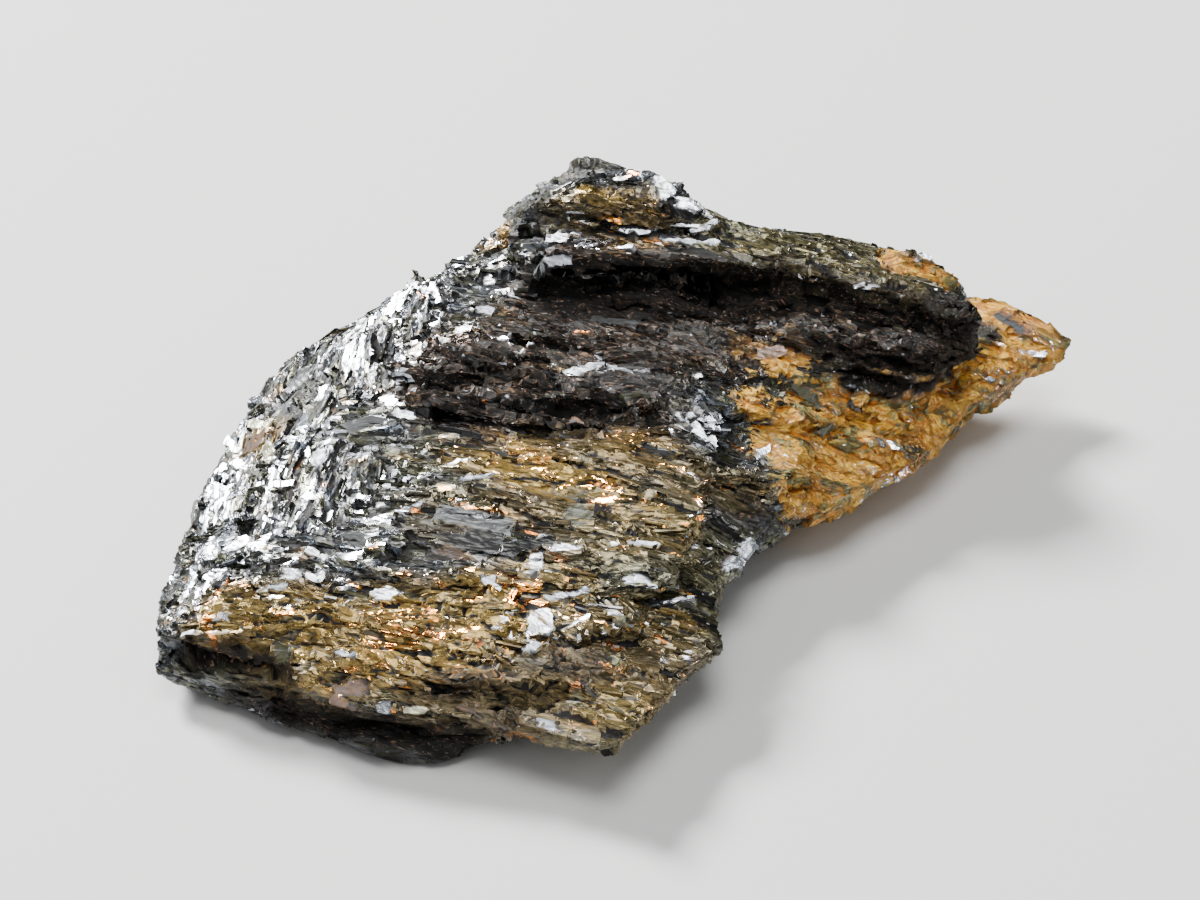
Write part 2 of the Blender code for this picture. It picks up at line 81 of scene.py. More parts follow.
viewpoint = {
    "aim": (-1.25, -0.32, 5.0),  # mm
    "azimuth": -26.0,
    "elevation": 40.0,
    "distance": 150.0,  # mm
    "lens": 90.0,
    "imageWidth": 1200,  # the frame in which the places on the stone are given: (u, v) from its top left
    "imageHeight": 900,
    "pointSize": 0.05,  # mm on the stone for one point of that frame
}


def makeCamera():
    lens = bpy.data.cameras.new("stoneCamera")
    lens.lens = viewpoint["lens"]
    lens.clip_start = 0.001
    camera = placed("stoneCamera", lens)
    back = towardsViewer(viewpoint["azimuth"], viewpoint["elevation"])
    camera.location = Vector(viewpoint["aim"]) * mm + back * viewpoint["distance"] * mm
    lookFrom(camera, back)
    bpy.context.scene.camera = camera
    bpy.context.view_layer.update()
    return camera


camera = makeCamera()
print("camera placed")


# the light that the cleavage faces catch
lamps = {
    # azimuth and elevation, degrees; power, W; size, m
    "window": {"from": (195.0, 38.0), "power": 10.0, "size": 0.14},
    "ceiling": {"from": (0.0, 88.0), "power": 2.4, "size": 0.3},
    "fill": {"from": (-60.0, 45.0), "power": 0.5, "size": 0.4},
    "side": {"from": (48.0, 36.0), "power": 0.6, "size": 0.4},
}


def glintWay(name):
    # the way out of a face that shines the lamp's light towards the usual viewpoint
    return (towardsViewer(*lamps[name]["from"])
            + towardsViewer(viewpoint["azimuth"], viewpoint["elevation"])).normalized()


glintWays = np.array([glintWay("window"), glintWay("ceiling")])


def weldedCopy(mesh):
    shape = bmesh.new()
    shape.from_mesh(mesh)
    bmesh.ops.remove_doubles(shape, verts=shape.verts[:], dist=1e-6)
    copy = bpy.data.meshes.new("weldedStone")
    shape.to_mesh(copy)
    shape.free()
    return copy


weldedStone = weldedCopy(stoneNode.data)
stoneTree = BVHTree.FromPolygons(
    [v.co.copy() for v in weldedStone.vertices], [tuple(p.vertices) for p in weldedStone.polygons])


def sightLine(u, v):
    wide, high = viewpoint["imageWidth"], viewpoint["imageHeight"]
    step = camera.data.sensor_width / camera.data.lens / wide
    return camera.rotation_quaternion @ Vector(((u - wide / 2) * step, (high / 2 - v) * step, -1.0))


def onStone(u, v):
    # where the camera's line of sight through (u, v) meets the stone, and the way out of it
    spot, out, _, _ = stoneTree.ray_cast(camera.location, sightLine(u, v))
    return spot, out


def gridOf(points):
    # mm along the grain, across it and up, for an array of points in metres
    values = np.asarray(points) / mm
    return np.column_stack((values @ np.array(alongGrain), values @ np.array(acrossGrain), values[:, 2]))


def awayFromLine(points, first, last):
    # mm from each point to the nearest place on a line
    line = last - first
    share = np.clip(((points - first) @ line) / max(line @ line, 1e-12), 0, 1)
    return np.linalg.norm(points - first - share[:, None] * line, axis=1) / mm


def noiseAt(places, size, shift=(0, 0, 0)):
    # soft random numbers that change over a distance of about size
    move = Vector(shift)
    return np.array([noise.noise(Vector(p) / size + move) for p in places])


# soft spots of colour, of kind and of painted shade: u, v, radius in mm, strength
patches = {
    "rust": [
        (1040, 340, 2.6, 1.0), (1005, 335, 1.8, 1.0), (1010, 372, 2.4, 1.0), (960, 410, 2.8, 1.0),
        (920, 430, 3.4, 1.0), (880, 425, 3.4, 1.0), (850, 455, 3.8, 1.0), (820, 480, 2.8, 1.0),
        (880, 480, 2.8, 1.0), (840, 412, 2.5, 0.85), (790, 440, 2.0, 0.6), (770, 400, 1.8, 0.45),
        (895, 262, 0.8, 0.8), (925, 266, 0.9, 0.9), (955, 275, 1.0, 1.0), (984, 300, 1.2, 1.0),
        (1015, 312, 1.8, 1.0), (760, 360, 1.3, 0.5), (800, 350, 1.2, 0.4),
    ],
    "bronze": [
        (240, 622, 2.1, 0.9), (310, 622, 2.3, 1.0), (400, 622, 2.4, 1.0), (480, 612, 2.2, 1.0),
        (540, 590, 2.0, 0.7), (640, 645, 2.4, 0.5), (590, 695, 2.6, 0.6), (400, 645, 3.0, 1.0),
        (320, 650, 3.0, 0.9), (460, 640, 2.2, 0.9), (500, 700, 2.4, 0.6), (430, 695, 2.0, 0.6),
        (510, 468, 1.5, 1.0), (550, 476, 1.5, 1.0), (590, 488, 1.5, 1.0), (470, 460, 1.2, 0.7),
        (640, 455, 1.8, 0.6), (690, 478, 1.6, 0.5), (730, 492, 1.4, 0.5), (600, 192, 1.1, 1.0),
        (630, 215, 1.8, 0.6), (570, 215, 1.4, 0.4), (585, 186, 0.9, 0.9), (502, 238, 1.0, 0.8),
        (265, 440, 1.4, 0.8), (560, 440, 1.4, 0.3), (450, 520, 1.8, 0.25), (600, 530, 2.0, 0.35),
        (520, 500, 1.8, 0.45), (680, 520, 2.0, 0.5), (640, 690, 2.0, 0.6), (560, 640, 1.8, 0.6),
    ],
    "silver": [
        (215, 500, 2.4, 1.0), (205, 560, 2.0, 0.9), (225, 465, 2.0, 1.0), (255, 440, 1.8, 0.7),
        (295, 455, 2.0, 1.0), (300, 490, 2.0, 0.9), (335, 440, 2.0, 0.8), (255, 525, 2.4, 1.0),
        (300, 550, 2.2, 0.9), (205, 605, 1.8, 0.8), (370, 425, 2.0, 0.8), (400, 390, 2.0, 0.9),
        (390, 345, 2.0, 0.9), (410, 300, 2.4, 1.0), (388, 304, 2.0, 1.0), (446, 286, 2.0, 0.9),
        (476, 254, 1.6, 0.8), (370, 500, 2.0, 0.6), (430, 505, 2.0, 0.5), (280, 575, 2.0, 0.8),
        (540, 620, 1.2, 1.0), (570, 560, 1.5, 0.7), (705, 430, 1.5, 0.9), (765, 445, 0.9, 0.8),
        (680, 195, 1.3, 1.0), (585, 368, 1.0, 0.7), (600, 240, 1.6, 0.5), (560, 245, 1.5, 0.6),
        (700, 225, 1.3, 0.5), (200, 640, 1.2, 0.6), (650, 235, 1.3, 0.4), (750, 240, 1.3, 0.3),
        (450, 620, 1.2, 0.5), (540, 645, 1.6, 0.6), (578, 231, 1.1, 0.8), (615, 233, 1.1, 0.8),
        (655, 236, 1.1, 0.8), (700, 238, 1.1, 0.7), (250, 500, 1.8, 1.0), (245, 530, 1.6, 1.0),
        (245, 470, 1.6, 1.0), (530, 600, 1.3, 0.7), (580, 605, 1.4, 0.7), (700, 525, 1.5, 0.6),
        (705, 560, 1.3, 0.5), (500, 625, 1.2, 0.6), (660, 640, 1.0, 0.5), (500, 560, 1.3, 0.4),
        (320, 350, 2.0, 0.6), (360, 336, 2.0, 0.7), (235, 575, 1.7, 0.9), (330, 568, 1.7, 0.8),
        (370, 545, 1.7, 0.6), (410, 570, 1.5, 0.55), (380, 520, 1.8, 0.6), (440, 590, 1.1, 0.5),
        (460, 490, 1.6, 0.5), (680, 600, 1.5, 0.5), (640, 565, 1.5, 0.45), (600, 655, 1.3, 0.5),
        (820, 250, 1.2, 0.35), (760, 236, 1.2, 0.35),
    ],
    "brown": [
        (600, 290, 3.2, 1.0), (680, 290, 3.2, 1.0), (760, 300, 3.2, 1.0), (840, 310, 3.2, 1.0),
        (900, 330, 3.0, 1.0), (950, 345, 2.6, 1.0), (640, 335, 3.0, 1.0), (560, 330, 3.0, 1.0),
        (480, 360, 3.0, 1.0), (440, 385, 2.4, 1.0), (520, 400, 3.0, 1.0), (600, 400, 3.0, 1.0),
        (560, 425, 1.8, 0.8), (720, 350, 2.4, 0.9), (800, 330, 2.2, 0.9),
    ],
    "olive": [
        (750, 235, 2.6, 0.8), (820, 250, 2.6, 0.8), (880, 270, 2.0, 0.7), (680, 540, 3.0, 0.6),
        (700, 600, 3.0, 0.7), (640, 585, 3.0, 0.6), (620, 520, 2.4, 0.5), (560, 450, 2.0, 0.4),
        (440, 470, 2.4, 0.4), (590, 720, 2.4, 0.8), (250, 650, 2.4, 0.6),
    ],
    "mosaic": [  # short irregular pieces
        (240, 600, 3.0, 1.0), (310, 610, 3.0, 1.0), (400, 620, 3.0, 1.0), (480, 620, 3.0, 1.0),
        (560, 620, 3.0, 1.0), (640, 630, 3.0, 1.0), (330, 540, 2.6, 1.0), (400, 480, 2.6, 0.8),
        (240, 540, 2.6, 1.0), (450, 680, 3.0, 1.0), (560, 690, 3.0, 1.0), (330, 670, 2.6, 1.0),
        (850, 290, 3.0, 0.8), (930, 320, 3.0, 0.8), (780, 350, 2.6, 1.0), (700, 430, 2.0, 1.0),
    ],
    "grainy": [
        (400, 330, 3.0, 1.0), (430, 290, 3.0, 1.0), (476, 262, 2.4, 1.0), (370, 380, 2.6, 0.9),
        (200, 520, 1.8, 1.0), (190, 590, 1.8, 1.0), (560, 190, 2.4, 0.8), (620, 190, 2.2, 0.8),
    ],
    "smooth": [
        (390, 750, 3.0, 1.0), (450, 755, 3.0, 1.0), (330, 735, 2.4, 1.0), (560, 745, 1.6, 0.8),
        (540, 265, 1.2, 1.0),
    ],
    "shade": [  # painted shade: places made near black and matt, such as the shadowed band under the ridge, the recesses and the undercuts
        (556, 286, 1.9, 1.0), (600, 286, 1.9, 1.0), (645, 287, 1.9, 1.0), (690, 288, 1.9, 1.0),
        (735, 292, 1.8, 0.95), (780, 290, 1.5, 0.85), (825, 294, 1.4, 0.75), (870, 302, 1.3, 0.7),
        (915, 315, 1.2, 0.7), (955, 330, 1.1, 0.7), (985, 330, 0.8, 0.6), (900, 335, 1.4, 0.5),
        (190, 656, 1.2, 1.0), (225, 658, 1.2, 1.0), (255, 664, 1.1, 1.0), (280, 674, 0.9, 0.9),
        (268, 702, 1.0, 0.8), (300, 706, 1.3, 0.9), (345, 716, 1.5, 0.9), (395, 728, 1.6, 0.9),
        (445, 738, 1.5, 0.9), (515, 405, 1.0, 1.0), (560, 408, 1.0, 1.0), (608, 406, 1.0, 1.0),
        (540, 426, 0.8, 0.8), (428, 385, 1.1, 0.8), (460, 372, 1.1, 0.7), (500, 350, 1.2, 0.7),
        (550, 345, 1.3, 0.7), (600, 350, 1.3, 0.6), (650, 345, 1.3, 0.5), (700, 340, 1.3, 0.5),
        (480, 405, 0.8, 0.8), (860, 378, 0.8, 1.0), (895, 388, 0.8, 1.0), (930, 388, 0.8, 0.9),
        (957, 374, 0.6, 0.8), (666, 212, 0.5, 0.8), (740, 500, 0.5, 0.6), (755, 520, 0.8, 0.8),
        (450, 682, 1.2, 0.8), (425, 690, 1.0, 0.6), (495, 690, 1.3, 0.55), (535, 685, 1.6, 0.6),
        (575, 668, 1.3, 0.5), (500, 715, 1.2, 0.5), (540, 722, 1.3, 0.5), (580, 745, 1.6, 0.45),
        (295, 392, 1.6, 0.35), (300, 415, 1.4, 0.35), (330, 438, 1.2, 0.3), (530, 205, 1.4, 0.6),
        (575, 168, 1.3, 0.6), (528, 232, 1.0, 0.6), (545, 190, 1.0, 0.5), (600, 165, 0.9, 0.5),
        (535, 385, 1.2, 0.6), (530, 410, 1.2, 0.9), (610, 378, 1.1, 0.5), (650, 380, 1.1, 0.5),
        (735, 350, 1.0, 0.4), (245, 680, 1.3, 0.5), (800, 338, 0.9, 0.5), (830, 346, 1.0, 0.62),
        (865, 354, 1.0, 0.66), (900, 362, 1.0, 0.68), (935, 362, 0.9, 0.66), (960, 350, 0.8, 0.6),
        (845, 365, 0.7, 0.62), (450, 410, 0.8, 0.75), (490, 420, 0.8, 0.8), (580, 422, 0.9, 0.8),
        (620, 420, 0.8, 0.7), (590, 395, 1.0, 0.6), (480, 390, 0.9, 0.5), (440, 735, 1.4, 0.6),
        (250, 700, 1.2, 0.7),
    ],
    "cross": [  # here the blades lie across the main grain
        (215, 500, 2.6, 1.0), (225, 460, 2.4, 1.0), (260, 430, 2.4, 1.0), (300, 420, 2.4, 1.0),
        (320, 470, 2.2, 1.0), (290, 500, 2.2, 1.0), (340, 380, 2.6, 1.0), (380, 330, 2.6, 1.0),
        (420, 290, 2.4, 1.0), (300, 370, 2.4, 1.0), (352, 346, 2.4, 1.0),
    ],
}
patchEdge = {
    "stretch": 0.7,  # patches are drawn out along the grain by one over this
    "reach": 1.25,  # how far they go, in radii
    "firmness": 2.2,
}


def patchStrength(points, spots):
    # from 0 to 1: the strongest of the soft spots at each point
    grid = gridOf(points)
    strength = np.zeros(len(grid))
    for u, v, radius, power in spots:
        spot, _ = onStone(u, v)
        if spot is None:
            print("no stone under the patch at", u, v)
            continue
        away = grid - gridOf([spot])[0]
        away[:, 0] *= patchEdge["stretch"]
        near = 1.0 - np.sqrt((away ** 2).sum(axis=1)) / (radius * patchEdge["reach"])
        strength = np.maximum(strength, power * np.clip(near * patchEdge["firmness"], 0.0, 1.0))
    return strength


# single crystal faces: both ends of the long axis, as u, v, u, v, and the width in points of the frame
crystalFaces = {
    "white": [
        (214, 478, 226, 466, 12), (230, 443, 240, 452, 8), (236, 464, 249, 466, 9), (208, 488, 214, 494, 8),
        (286, 466, 299, 437, 9), (300, 466, 307, 446, 5), (314, 468, 330, 450, 12), (272, 487, 294, 482, 7),
        (265, 518, 283, 520, 4), (227, 552, 250, 535, 12), (245, 548, 268, 537, 10),
        (281, 574, 303, 573, 11), (303, 577, 326, 576, 9), (306, 552, 327, 558, 6), (285, 565, 299, 560, 4),
        (205, 572, 225, 573, 12), (198, 600, 212, 582, 12), (364, 448, 380, 444, 10),
        (382, 488, 399, 485, 8), (374, 597, 398, 588, 12), (390, 312, 402, 298, 12),
        (408, 290, 416, 286, 7), (430, 324, 438, 313, 9), (430, 289, 437, 285, 6), (386, 321, 399, 318, 8),
        (386, 400, 399, 412, 12), (392, 424, 418, 416, 12), (396, 381, 409, 379, 7),
        (318, 401, 324, 389, 8), (652, 192, 676, 204, 20), (664, 198, 698, 210, 17),
        (557, 376, 606, 364, 6), (512, 352, 533, 346, 3), (692, 377, 703, 375, 4), (694, 424, 724, 449, 9),
        (757, 454, 771, 450, 8), (886, 438, 907, 455, 5), (1018, 352, 1044, 356, 7),
        (914, 258, 926, 256, 7), (527, 560, 545, 557, 10), (552, 546, 590, 552, 5),
        (527, 621, 553, 621, 22), (612, 625, 632, 627, 8), (685, 658, 689, 650, 7), (306, 436, 316, 416, 2),
        (322, 452, 334, 430, 3), (544, 238, 568, 236, 10), (338, 590, 352, 584, 6), (510, 297, 516, 296, 6),
        (492, 264, 499, 261, 4), (855, 286, 866, 283, 4), (866, 287, 880, 284, 5), (395, 718, 412, 719, 4),
        (1000, 346, 1006, 344, 4),
    ],
    "silver": [
        (182, 605, 207, 550, 8), (214, 616, 232, 617, 9), (256, 590, 288, 588, 8), (178, 632, 192, 631, 7),
        (336, 653, 357, 656, 5), (418, 296, 432, 288, 8), (356, 374, 388, 361, 5), (360, 380, 386, 370, 3),
        (477, 313, 496, 309, 6), (452, 330, 472, 321, 10), (546, 262, 572, 258, 8), (690, 228, 715, 226, 5),
        (620, 228, 650, 231, 4), (575, 240, 640, 246, 4), (660, 236, 720, 243, 4), (688, 412, 700, 420, 4),
        (675, 410, 690, 425, 5), (440, 514, 505, 519, 7), (545, 600, 590, 588, 7), (560, 628, 590, 624, 6),
        (536, 722, 556, 728, 9), (372, 708, 388, 703, 9), (728, 560, 752, 548, 12), (975, 376, 993, 384, 5),
        (254, 428, 262, 415, 7), (274, 381, 285, 377, 8), (255, 405, 272, 401, 9), (430, 470, 470, 466, 4),
        (455, 482, 500, 478, 4), (600, 545, 660, 549, 4), (640, 600, 690, 606, 4), (400, 508, 424, 503, 6),
        (346, 460, 372, 456, 7), (346, 492, 370, 500, 7), (340, 350, 356, 338, 6), (520, 650, 556, 646, 6),
        (232, 500, 252, 490, 8), (222, 525, 240, 510, 7), (545, 290, 548, 288, 3), (470, 585, 500, 580, 6),
    ],
    "pale": [
        (279, 433, 258, 470, 10), (247, 424, 272, 420, 10), (327, 345, 339, 339, 6),
        (410, 354, 422, 347, 9), (400, 713, 426, 708, 9), (560, 408, 580, 404, 4), (893, 443, 912, 459, 3),
    ],
    "salmon": [
        (243, 446, 267, 440, 15), (330, 692, 370, 688, 14), (758, 352, 786, 350, 14),
        (568, 420, 584, 424, 8), (806, 282, 836, 296, 11), (455, 702, 505, 728, 5),
    ],
    "slate": [
        (436, 515, 516, 530, 18), (345, 430, 385, 420, 16), (341, 538, 364, 536, 16),
        (537, 300, 541, 222, 10), (997, 312, 1030, 336, 15), (870, 434, 886, 446, 6),
        (293, 385, 310, 365, 14), (700, 404, 712, 416, 4), (590, 320, 640, 324, 8),
    ],
    "dark": [
        (428, 550, 503, 541, 17), (501, 549, 556, 535, 13), (232, 560, 258, 563, 9),
        (643, 443, 676, 456, 7), (662, 214, 693, 210, 12), (209, 476, 222, 480, 7), (203, 500, 212, 503, 8),
        (290, 440, 305, 412, 4), (300, 444, 318, 415, 4), (312, 452, 330, 425, 4), (330, 470, 352, 440, 4),
        (484, 244, 490, 238, 6), (850, 405, 876, 420, 4), (768, 404, 816, 410, 5), (300, 600, 318, 604, 7),
        (350, 575, 400, 580, 5),
    ],
    "olive": [
        (563, 520, 595, 520, 22), (274, 650, 290, 655, 14), (251, 474, 266, 479, 6),
        (786, 398, 838, 403, 6), (783, 388, 822, 384, 5), (950, 432, 962, 426, 8), (620, 395, 650, 392, 8),
        (818, 438, 838, 424, 11),
    ],
}
# crowds of hot glints, given in the same way
glows = {
    "gold": [
        (481, 222, 491, 234, 6), (487, 238, 492, 243, 5), (493, 462, 560, 473, 3), (530, 470, 610, 487, 4),
        (540, 478, 600, 489, 3), (560, 484, 620, 495, 3), (472, 600, 492, 594, 7), (454, 632, 478, 630, 5),
        (605, 664, 609, 662, 6), (372, 552, 380, 546, 7), (940, 270, 960, 277, 5), (500, 592, 514, 588, 5),
        (240, 622, 262, 628, 4), (300, 606, 322, 612, 4), (330, 622, 360, 626, 4), (650, 462, 690, 470, 3),
        (700, 478, 726, 484, 3), (722, 488, 730, 487, 5), (660, 590, 690, 594, 3), (350, 582, 364, 588, 4),
    ],
    "copper": [
        (625, 176, 640, 172, 10), (590, 503, 612, 500, 11), (590, 477, 619, 484, 5),
        (697, 500, 701, 496, 5), (513, 598, 534, 582, 9), (396, 635, 430, 632, 7), (436, 640, 450, 628, 9),
        (385, 651, 396, 650, 6), (344, 671, 357, 668, 7), (364, 643, 376, 648, 5), (277, 614, 291, 611, 7),
        (229, 583, 240, 582, 5), (205, 622, 209, 630, 6), (207, 634, 214, 639, 6), (572, 620, 584, 617, 8),
        (574, 686, 583, 680, 9), (513, 734, 532, 738, 9), (608, 647, 614, 645, 5), (548, 553, 566, 560, 4),
        (574, 333, 588, 331, 3), (480, 402, 490, 398, 3), (320, 485, 332, 484, 4), (422, 296, 438, 299, 4),
        (730, 440, 742, 446, 5), (466, 640, 474, 636, 6), (404, 648, 414, 646, 4), (655, 636, 668, 640, 5),
        (400, 576, 410, 572, 4),
    ],
}
glowEdge = {"core": 1.35, "perWidth": 0.03, "least": 0.06}  # mm, for how far the glow reaches


def glowOver(points, rows):
    # from 0 to 1: how near each point is to one of the glints
    glow = np.zeros(len(points))
    for u0, v0, u1, v1, width in rows:
        first, last = onStone(u0, v0)[0], onStone(u1, v1)[0]
        if first is None or last is None:
            continue
        away = awayFromLine(points, np.array(first), np.array(last))
        reach = width * glowEdge["perWidth"] + glowEdge["least"]
        glow = np.maximum(glow, np.clip(glowEdge["core"] - away / reach, 0, 1))
    return glow


# colour, how metallic, how far it leans to catch the light, how far it stands out in mm
crystalKinds = {
    "white": ((0.95, 0.97, 1.0), 1.0, 0.96, 0.06),
    "silver": ((0.4, 0.42, 0.45), 0.9, 0.7, 0.05),
    "pale": ((0.6, 0.56, 0.36), 0.4, 0.7, 0.08),
    "salmon": ((0.32, 0.19, 0.12), 0.4, 0.3, 0.06),
    "slate": ((0.1, 0.105, 0.105), 0.2, 0.1, 0.06),
    "dark": ((0.006, 0.0065, 0.008), 0.0, -0.3, 0.0),
    "olive": ((0.06, 0.06, 0.022), 0.0, -0.1, 0.1),
}
crystalEdge = {
    "ragged": 0.14,  # mm by which the edges wander
    "raggedSize": 0.4,
    "widen": 1.1,
    "slant": 0.6,  # how far their ends lean over
    "shortest": 0.7,  # least length, in widths
    "thickness": 0.5,  # how far a face reaches into the rock, in widths
}


def markFaces(points):
    # which single face, if any, each point belongs to, how deep inside it is, and each face's kind
    grid = points / mm
    ragged = noiseAt(grid, crystalEdge["raggedSize"]) * crystalEdge["ragged"]
    owner, depth, kinds = np.full(len(points), -1), np.zeros(len(points)), []
    for kind, rows in crystalFaces.items():
        for u0, v0, u1, v1, width in rows:
            first, last = onStone(u0, v0)[0], onStone(u1, v1)[0]
            middle, out = onStone((u0 + u1) / 2, (v0 + v1) / 2)
            if None in (first, last, middle):
                print("no stone under the crystal face at", u0, v0)
                continue
            along, aside = (last - first).normalized(), out.cross(last - first).normalized()
            halfWidth = width * viewpoint["pointSize"] / 2 * crystalEdge["widen"]
            halfLength = max((last - first).length / mm / 2, halfWidth * crystalEdge["shortest"])
            slant = crystalEdge["slant"] * (len(kinds) % 5 - 2) / 2
            off = grid - np.array(middle) / mm
            near = np.flatnonzero((off ** 2).sum(axis=1) < (halfLength + halfWidth + 0.5) ** 2)
            across = off[near] @ np.array(aside)
            ends = halfLength - np.abs(off[near] @ np.array(along) + slant * across)
            under = np.abs(off[near] @ np.array(out)) - halfWidth * crystalEdge["thickness"]
            sides = halfWidth - np.maximum(np.abs(across), under)
            inside = (np.minimum(ends, sides) + ragged[near]) / halfWidth
            better = inside > depth[near]
            owner[near[better]], depth[near[better]] = len(kinds), inside[better]
            kinds.append(kind)
    return owner, depth, kinds


rockBody = {
    "voxel": 0.1,  # mm
    "squeeze": 0.6,  # faces are longer along the grain by one over this
    "patchLimit": 0.4,  # how strong a patch has to be to set how the rock splits
    "rustLimit": 0.35,
    "waver": 0.9,  # mm by which the grain wanders
    "waverSize": 5.0,
    "swirl": 11.0,  # degrees by which the blades' heading wanders
    "swirlSize": 5.0,  # mm
    "crossHeading": 82.0,  # where the blades lie across the main grain
    "rustSwirl": 70.0,  # and more on the rust
    "rustSwirlSize": 1.6,
    "smoothing": 6,
    "easing": 0.1,  # how far the little jags between pieces are eased
    "likeParent": 0.7,  # how far the small pieces of one crystal face the same way
    "footing": (0.8, 0.1),  # splitting fades out over this height, mm, to this share at the floor
    "crumbSize": 1.8,  # mm
    "crumb": (0.5, 0.8),  # how strong the finest splitting is at least, and how much stronger in places
    # the share of pieces that catch the light: anywhere, more in silver patches, more in bronze patches
    "flashes": [(0.0, 0.04, 0.0), (0.005, 0.11, 0.0), (0.01, 0.06, 0.0)],
    "flashKept": 0.85,  # the share of a bright piece's own parts that stay bright
    "clusterSize": 1.3,  # mm
    "leaning": (0.2, 0.7, 0.6),  # how far pieces of bright patches turn to the light, coarse to fine
    "glare": {"silver": 0.95, "bronze": 0.4, "least": 0.4, "clustered": 0.25},
    "streakSwing": (7.0, 50.0),  # degrees by which the streaks of one crystal turn, and more on rust
    "gapShare": (0.05, 0.12),  # pieces that have dropped out: anywhere, more in silver patches
    "gapDepth": 0.18,  # mm
    "singleRelief": 0.35,  # how much of the splitting shows on a single face
    "singleLimit": 0.16,  # mm
    "flashRelief": 0.3,
    "spikes": (0.2, 0.1, 0.8),  # mm from which a spike is worn, mm to the full wear, the most wear
    "floorGap": 0.01,  # mm: nothing lies lower
    "crisp": 30.0,  # degrees: pieces that meet at more than this keep a crisp edge
    "triangles": 195000,
}
# cleavage, coarse to fine: length, width and thickness of the pieces it splits into, mm; roll and pitch of
# their faces, degrees; how far they stand in or out, mm; the furthest that a point may move, mm
cleavage = {
    "straight": [
        {"size": (7.0, 1.5, 1.2), "roll": 12, "pitch": 3, "level": 0.2, "limit": 0.45},
        {"size": (3.2, 0.5, 0.45), "roll": 22, "pitch": 4, "level": 0.1, "limit": 0.26},
        {"size": (1.1, 0.18, 0.18), "roll": 18, "pitch": 5, "level": 0.03, "limit": 0.08},
    ],
    "mosaic": [
        {"size": (3.2, 1.6, 1.3), "roll": 14, "pitch": 8, "level": 0.2, "limit": 0.45},
        {"size": (1.3, 0.6, 0.55), "roll": 20, "pitch": 10, "level": 0.1, "limit": 0.26},
        {"size": (0.55, 0.24, 0.24), "roll": 18, "pitch": 11, "level": 0.03, "limit": 0.09},
    ],
    "grainy": [
        {"size": (2.4, 1.6, 1.4), "roll": 16, "pitch": 12, "level": 0.18, "limit": 0.4},
        {"size": (0.95, 0.65, 0.6), "roll": 24, "pitch": 18, "level": 0.11, "limit": 0.28},
        {"size": (0.42, 0.3, 0.3), "roll": 16, "pitch": 13, "level": 0.03, "limit": 0.1},
    ],
    "crusted": [
        {"size": (3.0, 2.0, 1.6), "roll": 10, "pitch": 8, "level": 0.12, "limit": 0.35},
        {"size": (1.5, 0.8, 0.7), "roll": 17, "pitch": 12, "level": 0.07, "limit": 0.2},
        {"size": (0.5, 0.18, 0.2), "roll": 12, "pitch": 8, "level": 0.015, "limit": 0.06},
    ],
    "sheets": [
        {"size": (4.5, 1.3, 1.0), "roll": 14, "pitch": 6, "level": 0.2, "limit": 0.45},
        {"size": (2.6, 0.5, 0.45), "roll": 24, "pitch": 7, "level": 0.13, "limit": 0.3},
        {"size": (1.5, 0.18, 0.18), "roll": 15, "pitch": 4, "level": 0.03, "limit": 0.08},
    ],
    "smooth": [
        {"size": (3.4, 1.9, 1.6), "roll": 10, "pitch": 8, "level": 0.1, "limit": 0.36},
        {"size": (1.3, 0.7, 0.6), "roll": 12, "pitch": 9, "level": 0.05, "limit": 0.18},
        {"size": (0.6, 0.26, 0.26), "roll": 8, "pitch": 6, "level": 0.012, "limit": 0.06},
    ],
}


def scattered(values, seed):
    # a fixed random number from 0 to 1 for each value
    value = np.sin(values + seed * 4.137) * 43758.5453
    return value - np.floor(value)


def chanceOf(cells, seed):
    return scattered(cells @ np.array((12.9898, 78.233, 37.719)), seed)


def drawFor(keys, seed, low=0.0, high=1.0):
    # a fixed random number for each lump, so that one lump more or less changes no other
    return low + (high - low) * scattered(
        keys % 9973.0 * 12.9898 + np.floor(keys / 9973.0) % 7919.0 * 78.233, seed)


def splitInto(place, size, seed):
    # the number of the irregular lump of rock that each place falls in
    scaled = place / np.array(size)
    base = np.floor(scaled)
    nearest = np.full(len(place), 1e9)
    owner = np.zeros((len(place), 3))
    for step in np.ndindex(3, 3, 3):
        cell = base + np.array(step) - 1
        middle = np.column_stack([chanceOf(cell, seed + i) for i in range(3)])
        apart = np.abs(scaled - cell - middle)
        away = apart.max(axis=1) + 0.25 * apart.sum(axis=1)  # pieces come out as laths and blocks
        closer = away < nearest
        nearest[closer] = away[closer]
        owner[closer] = cell[closer]
    return (owner + 1000) @ np.array((4e6, 2e3, 1.0))


def meanOf(groups, values):
    return np.bincount(groups, weights=values) / np.bincount(groups)


def meanOver(groups, rows):
    return np.column_stack([meanOf(groups, values) for values in rows.T])


def unit(vectors):
    return vectors / np.maximum(np.linalg.norm(vectors, axis=1, keepdims=True), 1e-9)


